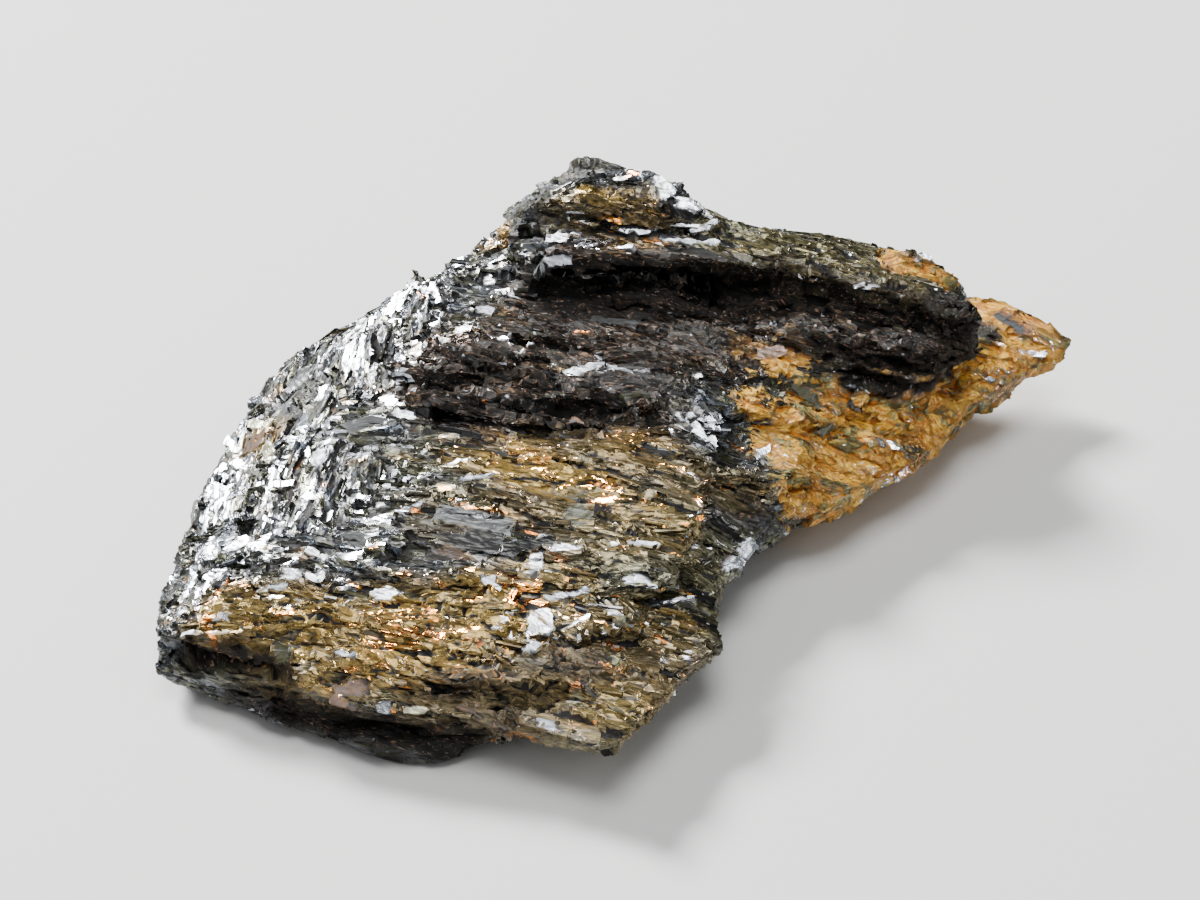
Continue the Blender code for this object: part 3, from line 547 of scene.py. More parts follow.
def cleave(points, out, parents, like, lies, lumps, keys, few, lean, seed):
    # each lump is flattened to a plane of its own, so that neighbours meet at steps and creases
    chance = np.column_stack([drawFor(keys, seed + i, -1.0, 1.0) for i in range(3)])
    facing = unit(meanOver(lumps, out * (1 - like[:, None]) + parents * like[:, None]))
    along = unit(meanOver(lumps, lies))
    aside = unit(np.cross(facing, along))
    middle = meanOver(lumps, points)
    amounts = meanOver(lumps, few[:, :3] * (math.radians(1), math.radians(1), 1))
    roll = (np.sign(chance[:, :1]) * 0.5 + chance[:, :1] * 0.5) * amounts[:, :1]
    facing = unit(facing + aside * roll + along * (amounts[:, 1:2] * chance[:, 1:2]))
    nearest = glintWays[np.argmax(facing @ glintWays.T, axis=1)]
    lean = lean[:, None]
    plane = unit(facing * (1 - lean) + nearest * lean)[lumps]
    reach = ((middle[lumps] - points) * plane).sum(axis=1) / np.maximum((out * plane).sum(axis=1), 0.5)
    return reach + (chance[:, 2] * amounts[:, 2])[lumps] * mm, plane, chance[:, 2] * 0.5 + 0.5


def readPoints(mesh):
    points = np.empty(len(mesh.vertices) * 3, np.float32)
    mesh.vertices.foreach_get("co", points)
    return points.reshape(-1, 3).astype(float)


def writePoints(mesh, points):
    mesh.vertices.foreach_set("co", np.asarray(points, np.float32).ravel())
    mesh.update()


def settle(mesh, points):
    # as writePoints, but nothing reaches below the floor
    points[:, 2] = np.maximum(points[:, 2], rockBody["floorGap"] * mm)
    writePoints(mesh, points)


def smoothOver(mesh, values, rounds):
    # each point's value averaged with its neighbours'
    edges = np.empty(len(mesh.edges) * 2, np.int32)
    mesh.edges.foreach_get("vertices", edges)
    first, last = edges.reshape(-1, 2).T
    ends, starts = np.concatenate((first, last)), np.concatenate((last, first))
    share = 1.0 + np.bincount(ends, minlength=len(values))
    for _ in range(rounds):
        total = np.column_stack([
            np.bincount(ends, weights=column[starts], minlength=len(values)) for column in values.T])
        values = (values + total) / share[:, None]
    return values


def wayOut(mesh, rounds):
    way = np.empty(len(mesh.vertices) * 3, np.float32)
    mesh.vertex_normals.foreach_get("vector", way)
    return unit(smoothOver(mesh, way.reshape(-1, 3).astype(float), rounds))


def proudBy(mesh, points, out, rounds):
    # mm by which each point stands out from the smoothed surface
    return ((points - smoothOver(mesh, points, rounds)) * out).sum(axis=1) / mm


def storeValues(mesh, name, values, domain="POINT"):
    kind = "FLOAT_VECTOR" if values.ndim == 2 else "FLOAT"
    attribute = mesh.attributes.get(name) or mesh.attributes.new(name, kind, domain)
    attribute.data.foreach_set("vector" if values.ndim == 2 else "value", values.astype(np.float32).ravel())


def readValues(mesh, name):
    values = np.empty(len(mesh.vertices), np.float32)
    mesh.attributes[name].data.foreach_get("value", values)
    return values


def finalMesh(thing):
    return bpy.data.meshes.new_from_object(thing.evaluated_get(bpy.context.evaluated_depsgraph_get()))


def triangleCount(mesh):
    return sum(len(face.vertices) - 2 for face in mesh.polygons)


# grooves and low ridges: the points (u, v) they run through, half the width and the depth in mm (below zero
# stands out)
carvings = [
    ([(552, 282), (640, 281), (720, 288), (800, 297), (880, 314), (950, 328)], 1.3, 0.9),
    ([(850, 374), (895, 388), (930, 392), (960, 372)], 0.6, 0.7),
    ([(425, 416), (480, 424), (540, 432), (600, 430), (650, 420)], 0.55, 0.5),
    ([(505, 405), (560, 410), (630, 404)], 0.8, 0.8),
    ([(420, 345), (470, 341), (530, 338)], 0.3, 0.3),
    ([(440, 388), (500, 382), (560, 383), (620, 372)], 0.28, 0.3),
    ([(495, 322), (560, 325), (600, 330)], 0.25, 0.22),
    ([(332, 505), (331, 530), (334, 560), (333, 582)], 0.4, 0.4),
    ([(170, 652), (205, 656), (240, 660), (272, 670)], 1.05, 1.5),
    ([(290, 692), (330, 702), (380, 714), (440, 722), (500, 737)], 0.7, 0.6),
    ([(425, 560), (480, 562), (540, 570)], 0.22, 0.22),
    ([(478, 677), (520, 662), (560, 645), (600, 629), (640, 627)], 0.5, -0.28),
    ([(452, 696), (480, 712), (505, 730)], 0.4, -0.25),
    ([(655, 194), (675, 199), (698, 207)], 0.7, -0.5),
    ([(640, 478), (690, 490), (745, 504)], 0.18, 0.25),
    ([(500, 478), (560, 490), (620, 500)], 0.15, 0.15),
    ([(768, 403), (790, 407), (816, 410)], 0.25, 0.3),
    ([(615, 678), (616, 679)], 0.42, 0.5),
    ([(642, 628), (643, 629)], 0.3, 0.3),
    ([(205, 480), (215, 486)], 0.4, 0.35),
    ([(232, 561), (258, 565)], 0.3, 0.25),
    ([(380, 600), (420, 606), (470, 612)], 0.25, 0.2),
    ([(345, 588), (400, 618), (452, 622)], 0.22, 0.18),
    ([(640, 555), (700, 552), (735, 548)], 0.2, 0.2),
    ([(560, 575), (640, 580), (700, 578)], 0.2, 0.18),
]


def carve(points, out):
    for path, width, depth in carvings:
        spots = [np.array(onStone(u, v)[0]) for u, v in path if onStone(u, v)[0] is not None]
        dug = np.zeros(len(points))
        for first, last in zip(spots, spots[1:]):
            away = awayFromLine(points, first, last)
            dug = np.maximum(dug, np.clip(1 - (away / width) ** 2, 0, 1) ** 1.3)  # steeper than a bowl
        points = points - out * (dug * depth * mm)[:, None]
    return points


def styleOf(masks):
    # which of the kinds of cleavage each point has: later ones win
    style = np.zeros(len(masks["rust"]), int)
    for number, name in enumerate(("mosaic", "grainy", "rust", "cross", "smooth"), 1):
        style[masks[name] > rockBody["rustLimit" if name == "rust" else "patchLimit"]] = number
    return style


def acrossWhereCross(place, cross):
    # along and across change places where the blades lie across the main grain
    isCross = cross > rockBody["patchLimit"]
    place[isCross] = place[isCross][:, (1, 0, 2)]
    return place


def evenlyMeshed(rough):
    # small even faces in rows that follow the grain, so that splits along it come out straight
    turn = np.array([alongGrain, acrossGrain, (0.0, 0.0, 1.0)])
    squeeze = np.array((rockBody["squeeze"], 1.0, 1.0))
    turned = rough.copy()
    writePoints(turned, (readPoints(rough) @ turn.T) * squeeze)
    source = placed("roughStone", turned)
    remesh = source.modifiers.new("evenSurface", "REMESH")
    remesh.mode = "VOXEL"
    remesh.voxel_size = rockBody["voxel"] * mm
    mesh = finalMesh(source)
    bpy.data.objects.remove(source)
    writePoints(mesh, (readPoints(mesh) / squeeze) @ turn)
    return mesh


def lieOfBlades(grid, masks):
    # the way that the blades point at each place
    heading = rockBody["swirl"] * noiseAt(grid, rockBody["swirlSize"])
    heading = heading + rockBody["crossHeading"] * (masks["cross"] > rockBody["patchLimit"])
    patchy = noiseAt(grid, rockBody["rustSwirlSize"], (7, 3, 1))
    heading = heading + masks["rust"] * rockBody["rustSwirl"] * patchy
    turn = np.radians(heading) + grainTurn
    return np.column_stack((np.cos(turn), np.sin(turn), np.zeros(len(turn))))


def flashOf(lumps, keys, masks, cluster, depth):
    # which lumps catch the light, and which of those are gold or copper
    anywhere, silver, bronze = rockBody["flashes"][depth]
    dark = np.maximum(masks["shade"], masks["rust"] * 0.8)
    share = (anywhere + silver * masks["silver"] + bronze * masks["bronze"]) * (1 - dark) * cluster
    share, light, warm = (meanOf(lumps, values) for values in (share, masks["silver"], masks["bronze"]))
    return drawFor(keys, depth * 20 + 3) < share, drawFor(keys, depth * 20 + 4) < warm / (warm + light + 0.1)


def lumpsOf(place, style, depth, out, isCross):
    # the number of each point's lump and the values of its cleavage; faces turned apart are never one lump
    lumps, few = np.zeros(len(place)), np.zeros((len(place), 4))
    for number, layers in enumerate(cleavage.values()):
        here = style == number
        if here.any():
            layer = layers[depth]
            lumps[here] = splitInto(place[here], layer["size"], depth * 7 + number) * 8 + number
            few[here] = [layer[key] for key in ("roll", "pitch", "level", "limit")]
    turned = np.round(out[:, 2] * 1.4) * 5 + np.round(out @ np.array(acrossGrain) * 1.2)
    return lumps * 64 + turned + 20 + isCross * 0.5, few


def howItShines(masks, place):
    # crowding of the bright pieces, and how far the bright patches turn to the light
    glare = rockBody["glare"]
    cluster = np.clip(noiseAt(place, rockBody["clusterSize"], (3, 8, 5)) * 5 + 0.4, 0, 2.2)
    bright = np.maximum(masks["silver"] * glare["silver"], masks["bronze"] * glare["bronze"])
    return cluster, bright * (glare["least"] + glare["clustered"] * cluster) * (1 - masks["shade"])


def turnedStreaks(place, lumps, swing, draws):
    # the place from which the streaks of each lump are drawn, turned by its own angle
    turn = np.radians(meanOf(lumps, swing) * draws)[lumps]
    return np.column_stack((place[:, 0] * np.cos(turn) - place[:, 1] * np.sin(turn),
                            place[:, 0] * np.sin(turn) + place[:, 1] * np.cos(turn), place[:, 2]))


def wearSpikes(mesh, points, out):
    # the sharpest spikes have broken off
    start, over, most = rockBody["spikes"]
    for _ in range(2):
        eased = smoothOver(mesh, points, 5)
        proud = -((eased - points) * out).sum(axis=1) / mm
        points += (eased - points) * np.clip((proud - start) / over, 0, most)[:, None]
    return points


def leanOf(lumps, keys, glare, bright, single, depth):
    # how far each lump turns to the light, and which lumps belong to no single face
    plain = meanOf(lumps, single["here"].astype(float)) < 0.5
    lean = meanOf(lumps, glare) * np.sqrt(drawFor(keys, depth * 20 + 5)) * rockBody["leaning"][depth]
    lean = np.where(bright, drawFor(keys, depth * 20 + 6, 0.6, 1.0), lean)
    return np.where(plain, lean, meanOf(lumps, single["lean"]) * (depth > 0)), plain


def droppedOut(lumps, keys, masks, free, seed):
    # pieces that are missing, most of them in silver patches and none on the rust
    anywhere, silver = rockBody["gapShare"]
    share = anywhere + silver * meanOf(lumps, masks["silver"])
    share *= 1 - 0.6 * meanOf(lumps, masks["bronze"])
    return ((drawFor(keys, seed) < share) & free)[lumps] & (masks["rust"] < 0.3)


def splitRock(mesh, points, place, masks, single, calm):
    # three rounds of splitting, coarse to fine; returns the numbers that colour the faces
    style, lies = styleOf(masks), lieOfBlades(gridOf(points), masks)
    isCross = masks["cross"] > rockBody["patchLimit"]
    least, more = rockBody["crumb"]
    crumb = least + more * np.clip(noiseAt(place, rockBody["crumbSize"]) * 1.6 + 0.5, 0, 1)
    cluster, glare = howItShines(masks, place)
    flash, warm, gap = (np.zeros(len(points), bool) for _ in range(3))
    swing = rockBody["streakSwing"][0] + rockBody["streakSwing"][1] * masks["rust"]
    parents, marks, here = None, {}, single["here"]
    for depth, name in enumerate(("slab", "tone", "speck")):
        out = wayOut(mesh, rockBody["smoothing"] - depth)
        lumps, few = lumpsOf(marks["streakPlace"] if depth == 2 else place, style, depth, out, isCross)
        if depth:
            lumps[here] = -1.0 - single["owner"][here]
            few[here, :3] *= rockBody["singleRelief"]
            few[here, 3] = rockBody["singleLimit"]
            few[flash, :3] *= rockBody["flashRelief"]
        if depth == 2:
            few[:, :3] *= crumb[:, None]
        keys, lumps = np.unique(lumps, return_inverse=True)
        draw = depth * 20
        bright, gold = flashOf(lumps, keys, masks, cluster, depth)
        lean, plain = leanOf(lumps, keys, glare, bright, single, depth)
        like = np.where(flash, 1.0, rockBody["likeParent"])
        reach, plane, tone = cleave(
            points, out, out if parents is None else parents, like, lies, lumps, keys, few, lean, draw)
        parents = plane
        if depth == 1:
            marks["streakPlace"] = turnedStreaks(place, lumps, swing, drawFor(keys, draw + 7, -1.0, 1.0))
            gap = droppedOut(lumps, keys, masks, ~bright & plain, draw + 8) & ~flash
            reach -= gap * rockBody["gapDepth"] * mm
        fresh = (bright & plain)[lumps]
        kept = flash & (drawFor(keys, draw + 9) < rockBody["flashKept"])[lumps]
        warm = np.where(fresh & ~kept, gold[lumps], warm)
        flash = kept | fresh
        reach = np.clip(reach, -few[:, 3] * mm, few[:, 3] * mm) + single["stand"] * mm * (depth == 2)
        points = points + out * (reach * calm)[:, None]
        points += (smoothOver(mesh, points, 1) - points) * rockBody["easing"]
        settle(mesh, points)
        marks[name] = tone[lumps]
    points = wearSpikes(mesh, points, out)
    settle(mesh, points)
    marks.update(lie=lies, outward=out, flash=flash, warm=warm, gap=gap, facing=parents)
    marks["hollow"] = -proudBy(mesh, points, out, 5)
    return marks


def makeRockBody():
    mesh = evenlyMeshed(weldedStone)
    mesh.name = "rockBody"
    points = readPoints(mesh)
    masks = {name: patchStrength(points, spots) for name, spots in patches.items()}
    hot = {name: glowOver(points, rows) for name, rows in glows.items()}
    grid = gridOf(points)
    waver = np.column_stack([
        noiseAt(grid, rockBody["waverSize"], shift) for shift in ((0, 0, 0), (31, 7, 5), (3, 43, 17))])
    place = acrossWhereCross(grid + waver * rockBody["waver"], masks["cross"])
    height, least = rockBody["footing"]
    calm = np.clip(grid[:, 2] / height, least, 1.0)
    points = carve(points, wayOut(mesh, rockBody["smoothing"]))
    settle(mesh, points)
    owner, inside, kinds = markFaces(points)
    here = owner >= 0
    kindOf = [crystalKinds[kind] for kind in kinds]
    single = {"here": here, "owner": owner, "lean": np.zeros(len(points)), "stand": np.zeros(len(points))}
    single["lean"][here] = np.array([kind[2] for kind in kindOf])[owner[here]]
    single["stand"][here] = np.array([kind[3] for kind in kindOf])[owner[here]]
    marks = splitRock(mesh, points, place, masks, single, calm)
    corner = np.array([face.vertices[0] for face in mesh.polygons])
    for name in ("slab", "tone", "speck", "flash", "warm", "gap", "facing"):
        storeValues(mesh, name, marks.pop(name)[corner], "FACE")
    # faces in the painted shade get the second, duller finish
    mesh.polygons.foreach_set("material_index", (masks["shade"][corner] > 0.5).astype(np.int32))
    marks["grainPlace"], marks["crystal"] = place, np.clip(inside * 4, 0, 1)
    marks["crystalTint"] = np.array([kind[0] for kind in kindOf] + [(0.0, 0.0, 0.0)])[owner]
    marks["crystalMetal"] = np.array([kind[1] for kind in kindOf] + [0.0])[owner]
    for name, values in {**masks, **marks, **hot}.items():
        storeValues(mesh, name, values)
    body = placed("rockBody", mesh)
    print("rock split into", len(mesh.polygons), "faces")
    thinned = body.modifiers.new("thinned", "DECIMATE")
    thinned.ratio = rockBody["triangles"] / (2.0 * len(mesh.polygons))
    body.data = finalMesh(body)
    body.modifiers.clear()
    bpy.data.meshes.remove(mesh)
    body.data.name = "rockBody"
    body.data.shade_smooth()
    body.data.set_sharp_from_angle(angle=math.radians(rockBody["crisp"]))
    print("thinned to", triangleCount(body.data), "triangles")
    return body


def feed(tree, socket, value):
    if isinstance(value, bpy.types.NodeSocket):
        tree.links.new(value, socket)
    else:
        socket.default_value = value


def addNode(tree, kind, settings=None, **inputs):
    # inputs by name, with _ for a space, or by number, as in _0
    node = tree.nodes.new(kind)
    for name, value in (settings or {}).items():
        setattr(node, name, value)
    for name, value in inputs.items():
        isNumber = name[0] == "_" and name[1:].isdigit()
        feed(tree, node.inputs[int(name[1:]) if isNumber else name.replace("_", " ")], value)
    return node


def made(tree, kind, settings=None, **inputs):
    # what the new node gives out first
    return addNode(tree, kind, settings, **inputs).outputs[0]


# loose blades that stand a little proud of the rock: mm and degrees
splinters = {
    "shapes": 5,
    "shapeSeed": 4,
    "taper": (0.5, 0.95),
    "slant": 0.6,
    "spacing": 0.4,  # the least distance apart
    "density": 4.0,  # per square mm
    "length": (0.6, 1.9),
    "width": (0.1, 0.26),
    "thickness": (0.12, 0.26),
    "sink": 0.02,
    "wobble": (25.0, 5.0, 7.0),
    "seed": 11,
    "share": {"anywhere": 0.35, "silver": 0.5, "bronze": 0.15},  # how many grow, and how many more in patches
    "sharpest": 0.09,  # they keep off edges that stand out by more than this
    "boldest": 0.14,  # and off broad bulges that stand out by more than this
    "lowest": 0.9,
    "flash": 0.3,  # the share that catches the light in silver patches
}


def makeBladeShapes():
    # unit blades: a ridged top, slanting broken ends, closed
    chance = np.random.default_rng(splinters["shapeSeed"])
    shelf = bpy.data.collections.new("bladeShapes")
    bpy.context.scene.collection.children.link(shelf)
    for number in range(splinters["shapes"]):
        shape = bmesh.new()
        ends = []
        ridge = chance.uniform(-0.2, 0.2)
        for side in (-0.5, 0.5):
            taper = chance.uniform(*splinters["taper"])
            slant = chance.uniform(-0.5, 0.5) * splinters["slant"]
            profile = [(-0.5, -0.5), (0.5, -0.5), (0.5 * taper, 0.25), (ridge, 0.5), (-0.5 * taper, 0.25)]
            ends.append([
                shape.verts.new((side + 0.12 * slant * y - 0.1 * side * z, y, z)) for y, z in profile])
        for i in range(5):
            j = (i + 1) % 5
            shape.faces.new((ends[0][i], ends[0][j], ends[1][j], ends[1][i]))
        shape.faces.new(ends[0])
        shape.faces.new(reversed(ends[1]))
        bmesh.ops.triangulate(shape, faces=shape.faces[:])
        bmesh.ops.recalc_face_normals(shape, faces=shape.faces[:])
        mesh = bpy.data.meshes.new(f"bladeShape{number}")
        shape.to_mesh(mesh)
        shape.free()
        shelf.objects.link(bpy.data.objects.new(f"bladeShape{number}", mesh))
    return shelf


def makeFieldTree():
    # scatters shapes over a surface: they lie along "lie" and stand off "outward"
    tree = bpy.data.node_groups.new("bladeField", "GeometryNodeTree")
    inputs = {
        "Geometry": ("Surface",), "Collection": ("Shapes",), "Material": ("Finish",), "Int": ("Seed",),
        "Float": ("Spacing", "Density", "Sink"), "Vector": ("Length", "Width", "Thickness", "Wobble"),
    }
    for kind, names in inputs.items():
        for name in names:
            tree.interface.new_socket(name, in_out="INPUT", socket_type="NodeSocket" + kind)
    tree.interface.new_socket("Blades", in_out="OUTPUT", socket_type="NodeSocketGeometry")
    given = tree.nodes.new("NodeGroupInput").outputs

    def stored(name, kind="FLOAT"):
        return made(tree, "GeometryNodeInputNamedAttribute", {"data_type": kind}, Name=name)

    def between(pair, step):
        # a random number between the x and the y of a pair
        seed = made(tree, "ShaderNodeMath", {"operation": "ADD"}, _0=given["Seed"], _1=float(step))
        ends = addNode(tree, "ShaderNodeSeparateXYZ", _0=pair).outputs
        return addNode(tree, "FunctionNodeRandomValue", {"data_type": "FLOAT"},
                       _2=ends[0], _3=ends[1], Seed=seed).outputs[1]

    def marked(geometry, name, step):
        # each blade is given a random number of its own
        whole = made(tree, "ShaderNodeCombineXYZ", X=0.0, Y=1.0)
        return made(tree, "GeometryNodeStoreNamedAttribute", {"data_type": "FLOAT", "domain": "INSTANCE"},
                    Geometry=geometry, Name=name, Value=between(whole, step))

    points = made(tree, "GeometryNodeDistributePointsOnFaces", {"distribute_method": "POISSON"},
                  Mesh=given["Surface"], Distance_Min=given["Spacing"], Density_Max=given["Density"],
                  Density_Factor=stored("share"), Seed=given["Seed"])
    stand = made(tree, "FunctionNodeAlignRotationToVector", {"axis": "Z"},
                 Vector=stored("outward", "FLOAT_VECTOR"))
    laid = made(tree, "FunctionNodeAlignRotationToVector", {"axis": "X", "pivot_axis": "Z"},
                Rotation=stand, Vector=stored("lie", "FLOAT_VECTOR"))
    swing = made(tree, "ShaderNodeVectorMath", {"operation": "SCALE"}, _0=given["Wobble"], Scale=-1.0)
    tip = made(tree, "FunctionNodeRandomValue", {"data_type": "FLOAT_VECTOR"},
               _0=swing, _1=given["Wobble"], Seed=given["Seed"])
    tipped = made(tree, "FunctionNodeRotateRotation", {"rotation_space": "LOCAL"}, Rotation=laid,
                  Rotate_By=made(tree, "FunctionNodeEulerToRotation", Euler=tip))
    scale = made(tree, "ShaderNodeCombineXYZ", X=between(given["Length"], 1), Y=between(given["Width"], 2),
                 Z=between(given["Thickness"], 3))
    shapes = made(tree, "GeometryNodeCollectionInfo", Collection=given["Shapes"], Separate_Children=True,
                  Reset_Children=True)
    which = addNode(tree, "FunctionNodeRandomValue", {"data_type": "INT"}, _4=0, _5=999,
                    Seed=given["Seed"]).outputs[2]
    laths = made(tree, "GeometryNodeInstanceOnPoints", Points=points, Instance=shapes, Pick_Instance=True,
                 Instance_Index=which, Rotation=tipped, Scale=scale)
    drop = made(tree, "ShaderNodeMath", {"operation": "MULTIPLY"}, _0=given["Sink"], _1=-1.0)
    sunk = made(tree, "GeometryNodeTranslateInstances", Instances=laths,
                Translation=made(tree, "ShaderNodeCombineXYZ", Z=drop))
    real = made(tree, "GeometryNodeRealizeInstances", Geometry=marked(marked(sunk, "tone", 5), "glint", 6))
    done = made(tree, "GeometryNodeSetMaterial", Geometry=real, Material=given["Finish"])
    addNode(tree, "NodeGroupOutput", Blades=done)
    return tree


def setInputs(modifier, **values):
    for item in modifier.node_group.interface.items_tree:
        if item.in_out == "INPUT" and item.name in values:
            modifier[item.identifier] = values[item.name]


def whereTheyGrow(mesh):
    # most where the rock is silvery, none on the rust, in the painted shade or on sharp edges
    mask = {name: readValues(mesh, name) for name in ("silver", "bronze", "rust", "shade", "crystal")}
    points = readPoints(mesh)
    sharp = np.linalg.norm(points - smoothOver(mesh, points, 12), axis=1) / mm
    bold = proudBy(mesh, points, wayOut(mesh, 6), 60)
    more = splinters["share"]
    share = more["anywhere"] + more["silver"] * mask["silver"] + more["bronze"] * mask["bronze"]
    share = share - mask["rust"] - mask["shade"] - mask["crystal"]
    free = (sharp < splinters["sharpest"]) & (bold < splinters["boldest"])
    free &= points[:, 2] > splinters["lowest"] * mm
    return np.clip(np.where(free, share, 0.0), 0.0, 1.0)


def growSplinters(body, finish):
    ground = placed("splinters", body.data.copy())
    storeValues(ground.data, "share", whereTheyGrow(ground.data))
    modifier = ground.modifiers.new("bladeField", "NODES")
    modifier.node_group = makeFieldTree()
    shelf = makeBladeShapes()
    for name in ("length", "width", "thickness"):
        setInputs(modifier, **{name.capitalize(): [v * mm for v in splinters[name]] + [0.0]})
    setInputs(modifier, Shapes=shelf, Finish=finish, Seed=splinters["seed"], Sink=splinters["sink"] * mm,
              Spacing=splinters["spacing"] * mm, Density=splinters["density"] / mm ** 2,
              Wobble=[math.radians(v) for v in splinters["wobble"]])
    mesh = finalMesh(ground)
    for spare in [ground, *shelf.objects]:
        bpy.data.objects.remove(spare)
    bpy.data.collections.remove(shelf)
    mesh.name = "splinters"
    points = readPoints(mesh)
    settle(mesh, points)
    place = acrossWhereCross(gridOf(points), readValues(mesh, "cross"))
    storeValues(mesh, "streakPlace", place)
    storeValues(mesh, "grainPlace", place)
    for name in ("crystal", "gap", "hollow"):
        storeValues(mesh, name, np.zeros(len(points)))
    bright = splinters["flash"] * np.clip(readValues(mesh, "silver") * 1.3, 0.0, 1.0)
    storeValues(mesh, "flash", (readValues(mesh, "glint") < bright).astype(float))
    mesh.attributes.remove(mesh.attributes["facing"])
    print("splinters have", triangleCount(mesh), "triangles")
    return placed("splinters", mesh)


amphibole = {
    "greyDark": (0.012, 0.012, 0.01),
    "greyLight": (0.21, 0.205, 0.17),
    "blueGrey": (0.17, 0.2, 0.25),
    "greenGrey": (0.2, 0.21, 0.11),
    "steel": (0.2, 0.22, 0.27),
    "brownDark": (0.004, 0.0022, 0.0016),
    "brownLight": (0.038, 0.026, 0.016),
    "oliveDark": (0.014, 0.012, 0.004),
    "oliveLight": (0.33, 0.29, 0.12),
    "goldDark": (0.075, 0.045, 0.008),
    "goldLight": (0.45, 0.3, 0.08),
    "rustBlack": (0.14, 0.06, 0.008),
    "rustRed": (0.42, 0.12, 0.01),
    "rustPale": (0.88, 0.6, 0.17),
    "rustDark": (0.52, 0.18, 0.006),
    "rustMiddle": (0.68, 0.33, 0.012),
    "rustLight": (0.8, 0.48, 0.045),
    "rustOlive": (0.38, 0.32, 0.09),
    "silverMetal": (0.8, 0.85, 0.95),
    "goldMetal": (1.0, 0.4, 0.03),
    "copperMetal": (1.0, 0.3, 0.05),
    # painted shade and what lies in it: its lighter tone, and reddish specks that partly stand in as painted
    # glints of lit little faces
    "shadeLight": (0.024, 0.016, 0.011),
    "reddishSpeckAndGlint": (0.2, 0.12, 0.08),
    # black of the painted shade in crevices, gaps and shade places, and of the grime between the grains
    "shadeAndGrimeBlack": (0.0025, 0.0021, 0.0016),
}
# coats over the grey rock, one on another: the first and last strength at which each shows, dark and light
coats = [
    ("brown", 0.3, 0.6, "brownDark", "brownLight"),
    ("olive", 0.4, 0.65, "oliveDark", "oliveLight"),
    ("bronze", 0.34, 0.6, "goldDark", "goldLight"),
]
lustre = {
    "split": 0.8,  # how far each piece shines the way that it split, whatever its rounded edges do
    "glint": 0.95,  # how far a glint turns to the light
    "ridges": 0.015,  # mm: fine ridges along the blades
    "waves": 0.07,  # mm: no face is quite flat
    "bending": 1.6,  # index of refraction
}


def valueOf(tree, name, part="Fac"):
    return addNode(tree, "ShaderNodeAttribute", {"attribute_name": name}).outputs[part]


def sums(tree, operation, first, second, third=0.0, clamp=False):
    return made(tree, "ShaderNodeMath", {"operation": operation, "use_clamp": clamp},
                _0=first, _1=second, _2=third)


def times(tree, first, second, clamp=False):
    return sums(tree, "MULTIPLY", first, second, 0.0, clamp)


def timesPlus(tree, first, factor, plus, clamp=False):
    return sums(tree, "MULTIPLY_ADD", first, factor, plus, clamp)


def less(tree, first, second):
    return sums(tree, "SUBTRACT", first, second)


def larger(tree, first, second):
    return sums(tree, "MAXIMUM", first, second)


def varied(tree, field, amount, middle, clamp=False):
    # a field that swings about one half, made to swing about another value by another amount
    return timesPlus(tree, less(tree, field, 0.5), amount, middle, clamp)


def threshold(tree, value, low, high):
    return made(tree, "ShaderNodeMapRange", Value=value, From_Min=low, From_Max=high)


def mixed(tree, factor, first, second):
    # first and second are outputs of nodes, or colours of the amphibole by their names
    node = addNode(tree, "ShaderNodeMix", {"data_type": "RGBA"}, _0=factor)
    for number, colour in ((6, first), (7, second)):
        feed(tree, node.inputs[number], (*amphibole[colour], 1.0) if isinstance(colour, str) else colour)
    return node.outputs[2]


def blendedWays(tree, factor, first, second):
    return addNode(tree, "ShaderNodeMix", {"data_type": "VECTOR"}, _0=factor, _4=first, _5=second).outputs[1]


def drawn(tree, perMm, detail=3.0, roughness=0.6, where="grainPlace"):
    # noise that follows the grain; perMm is patches per mm along, across and up
    place = made(tree, "ShaderNodeVectorMath", {"operation": "MULTIPLY"},
                 _0=valueOf(tree, where, "Vector"), _1=perMm)
    return made(tree, "ShaderNodeTexNoise", Vector=place, Scale=1.0, Detail=detail, Roughness=roughness)


def rockFields(tree):
    # what varies over the rock: its patches, its pieces and noise along the grain
    at = {name: valueOf(tree, name) for name in (
        "rust", "bronze", "silver", "brown", "olive", "shade", "hollow", "gold", "copper", "slab", "tone",
        "speck", "flash", "warm", "gap", "crystal", "crystalMetal")}
    at["fleck"] = drawn(tree, (1.0, 7.0, 7.0), 2.0, 0.6, "streakPlace")
    at["grit"] = drawn(tree, (3.5, 8.0, 8.0), 1.0, 0.6, "streakPlace")
    at["mottle"] = drawn(tree, (0.8, 1.8, 1.8))
    at["blotch"] = drawn(tree, (0.3, 0.5, 0.5), 2.0)
    at["greenish"] = drawn(tree, (0.5, 0.9, 0.9), 3.0)
    piece = timesPlus(tree, at["tone"], 0.4, times(tree, at["speck"], 0.25))
    piece = timesPlus(tree, at["slab"], 0.35, piece)
    at["light"] = timesPlus(tree, piece, 0.6, varied(tree, at["fleck"], 2.6, 0.14), True)
    at["warmMetal"] = larger(tree, at["gold"], at["copper"])
    at["glint"] = glintOf(tree, at)
    return at


def passing(tree, at, field, low, high, by=None, share=0.0):
    # from 0 to 1 as a field passes from low to high, sooner or later on each piece of rock
    value = timesPlus(tree, at[by], share, at[field]) if by else at[field]
    return threshold(tree, value, low, high)


def glintOf(tree, at):
    # little points that catch the light, crowded together in places
    fine = drawn(tree, (3.0, 6.0, 6.0), 1.0, 0.5, "streakPlace")
    crowd = threshold(tree, drawn(tree, (0.35, 0.5, 0.5), 2.0), 0.54, 0.62)
    likely = timesPlus(tree, at["bronze"], 0.15, times(tree, at["silver"], 0.06))
    likely = timesPlus(tree, at["rust"], 0.14, likely)
    likely = timesPlus(tree, likely, crowd, fine)
    likely = timesPlus(tree, at["brown"], 0.035, likely)
    likely = timesPlus(tree, at["warmMetal"], 0.27, likely)
    return times(tree, threshold(tree, likely, 0.71, 0.84), timesPlus(tree, at["shade"], -0.8, 1.0))


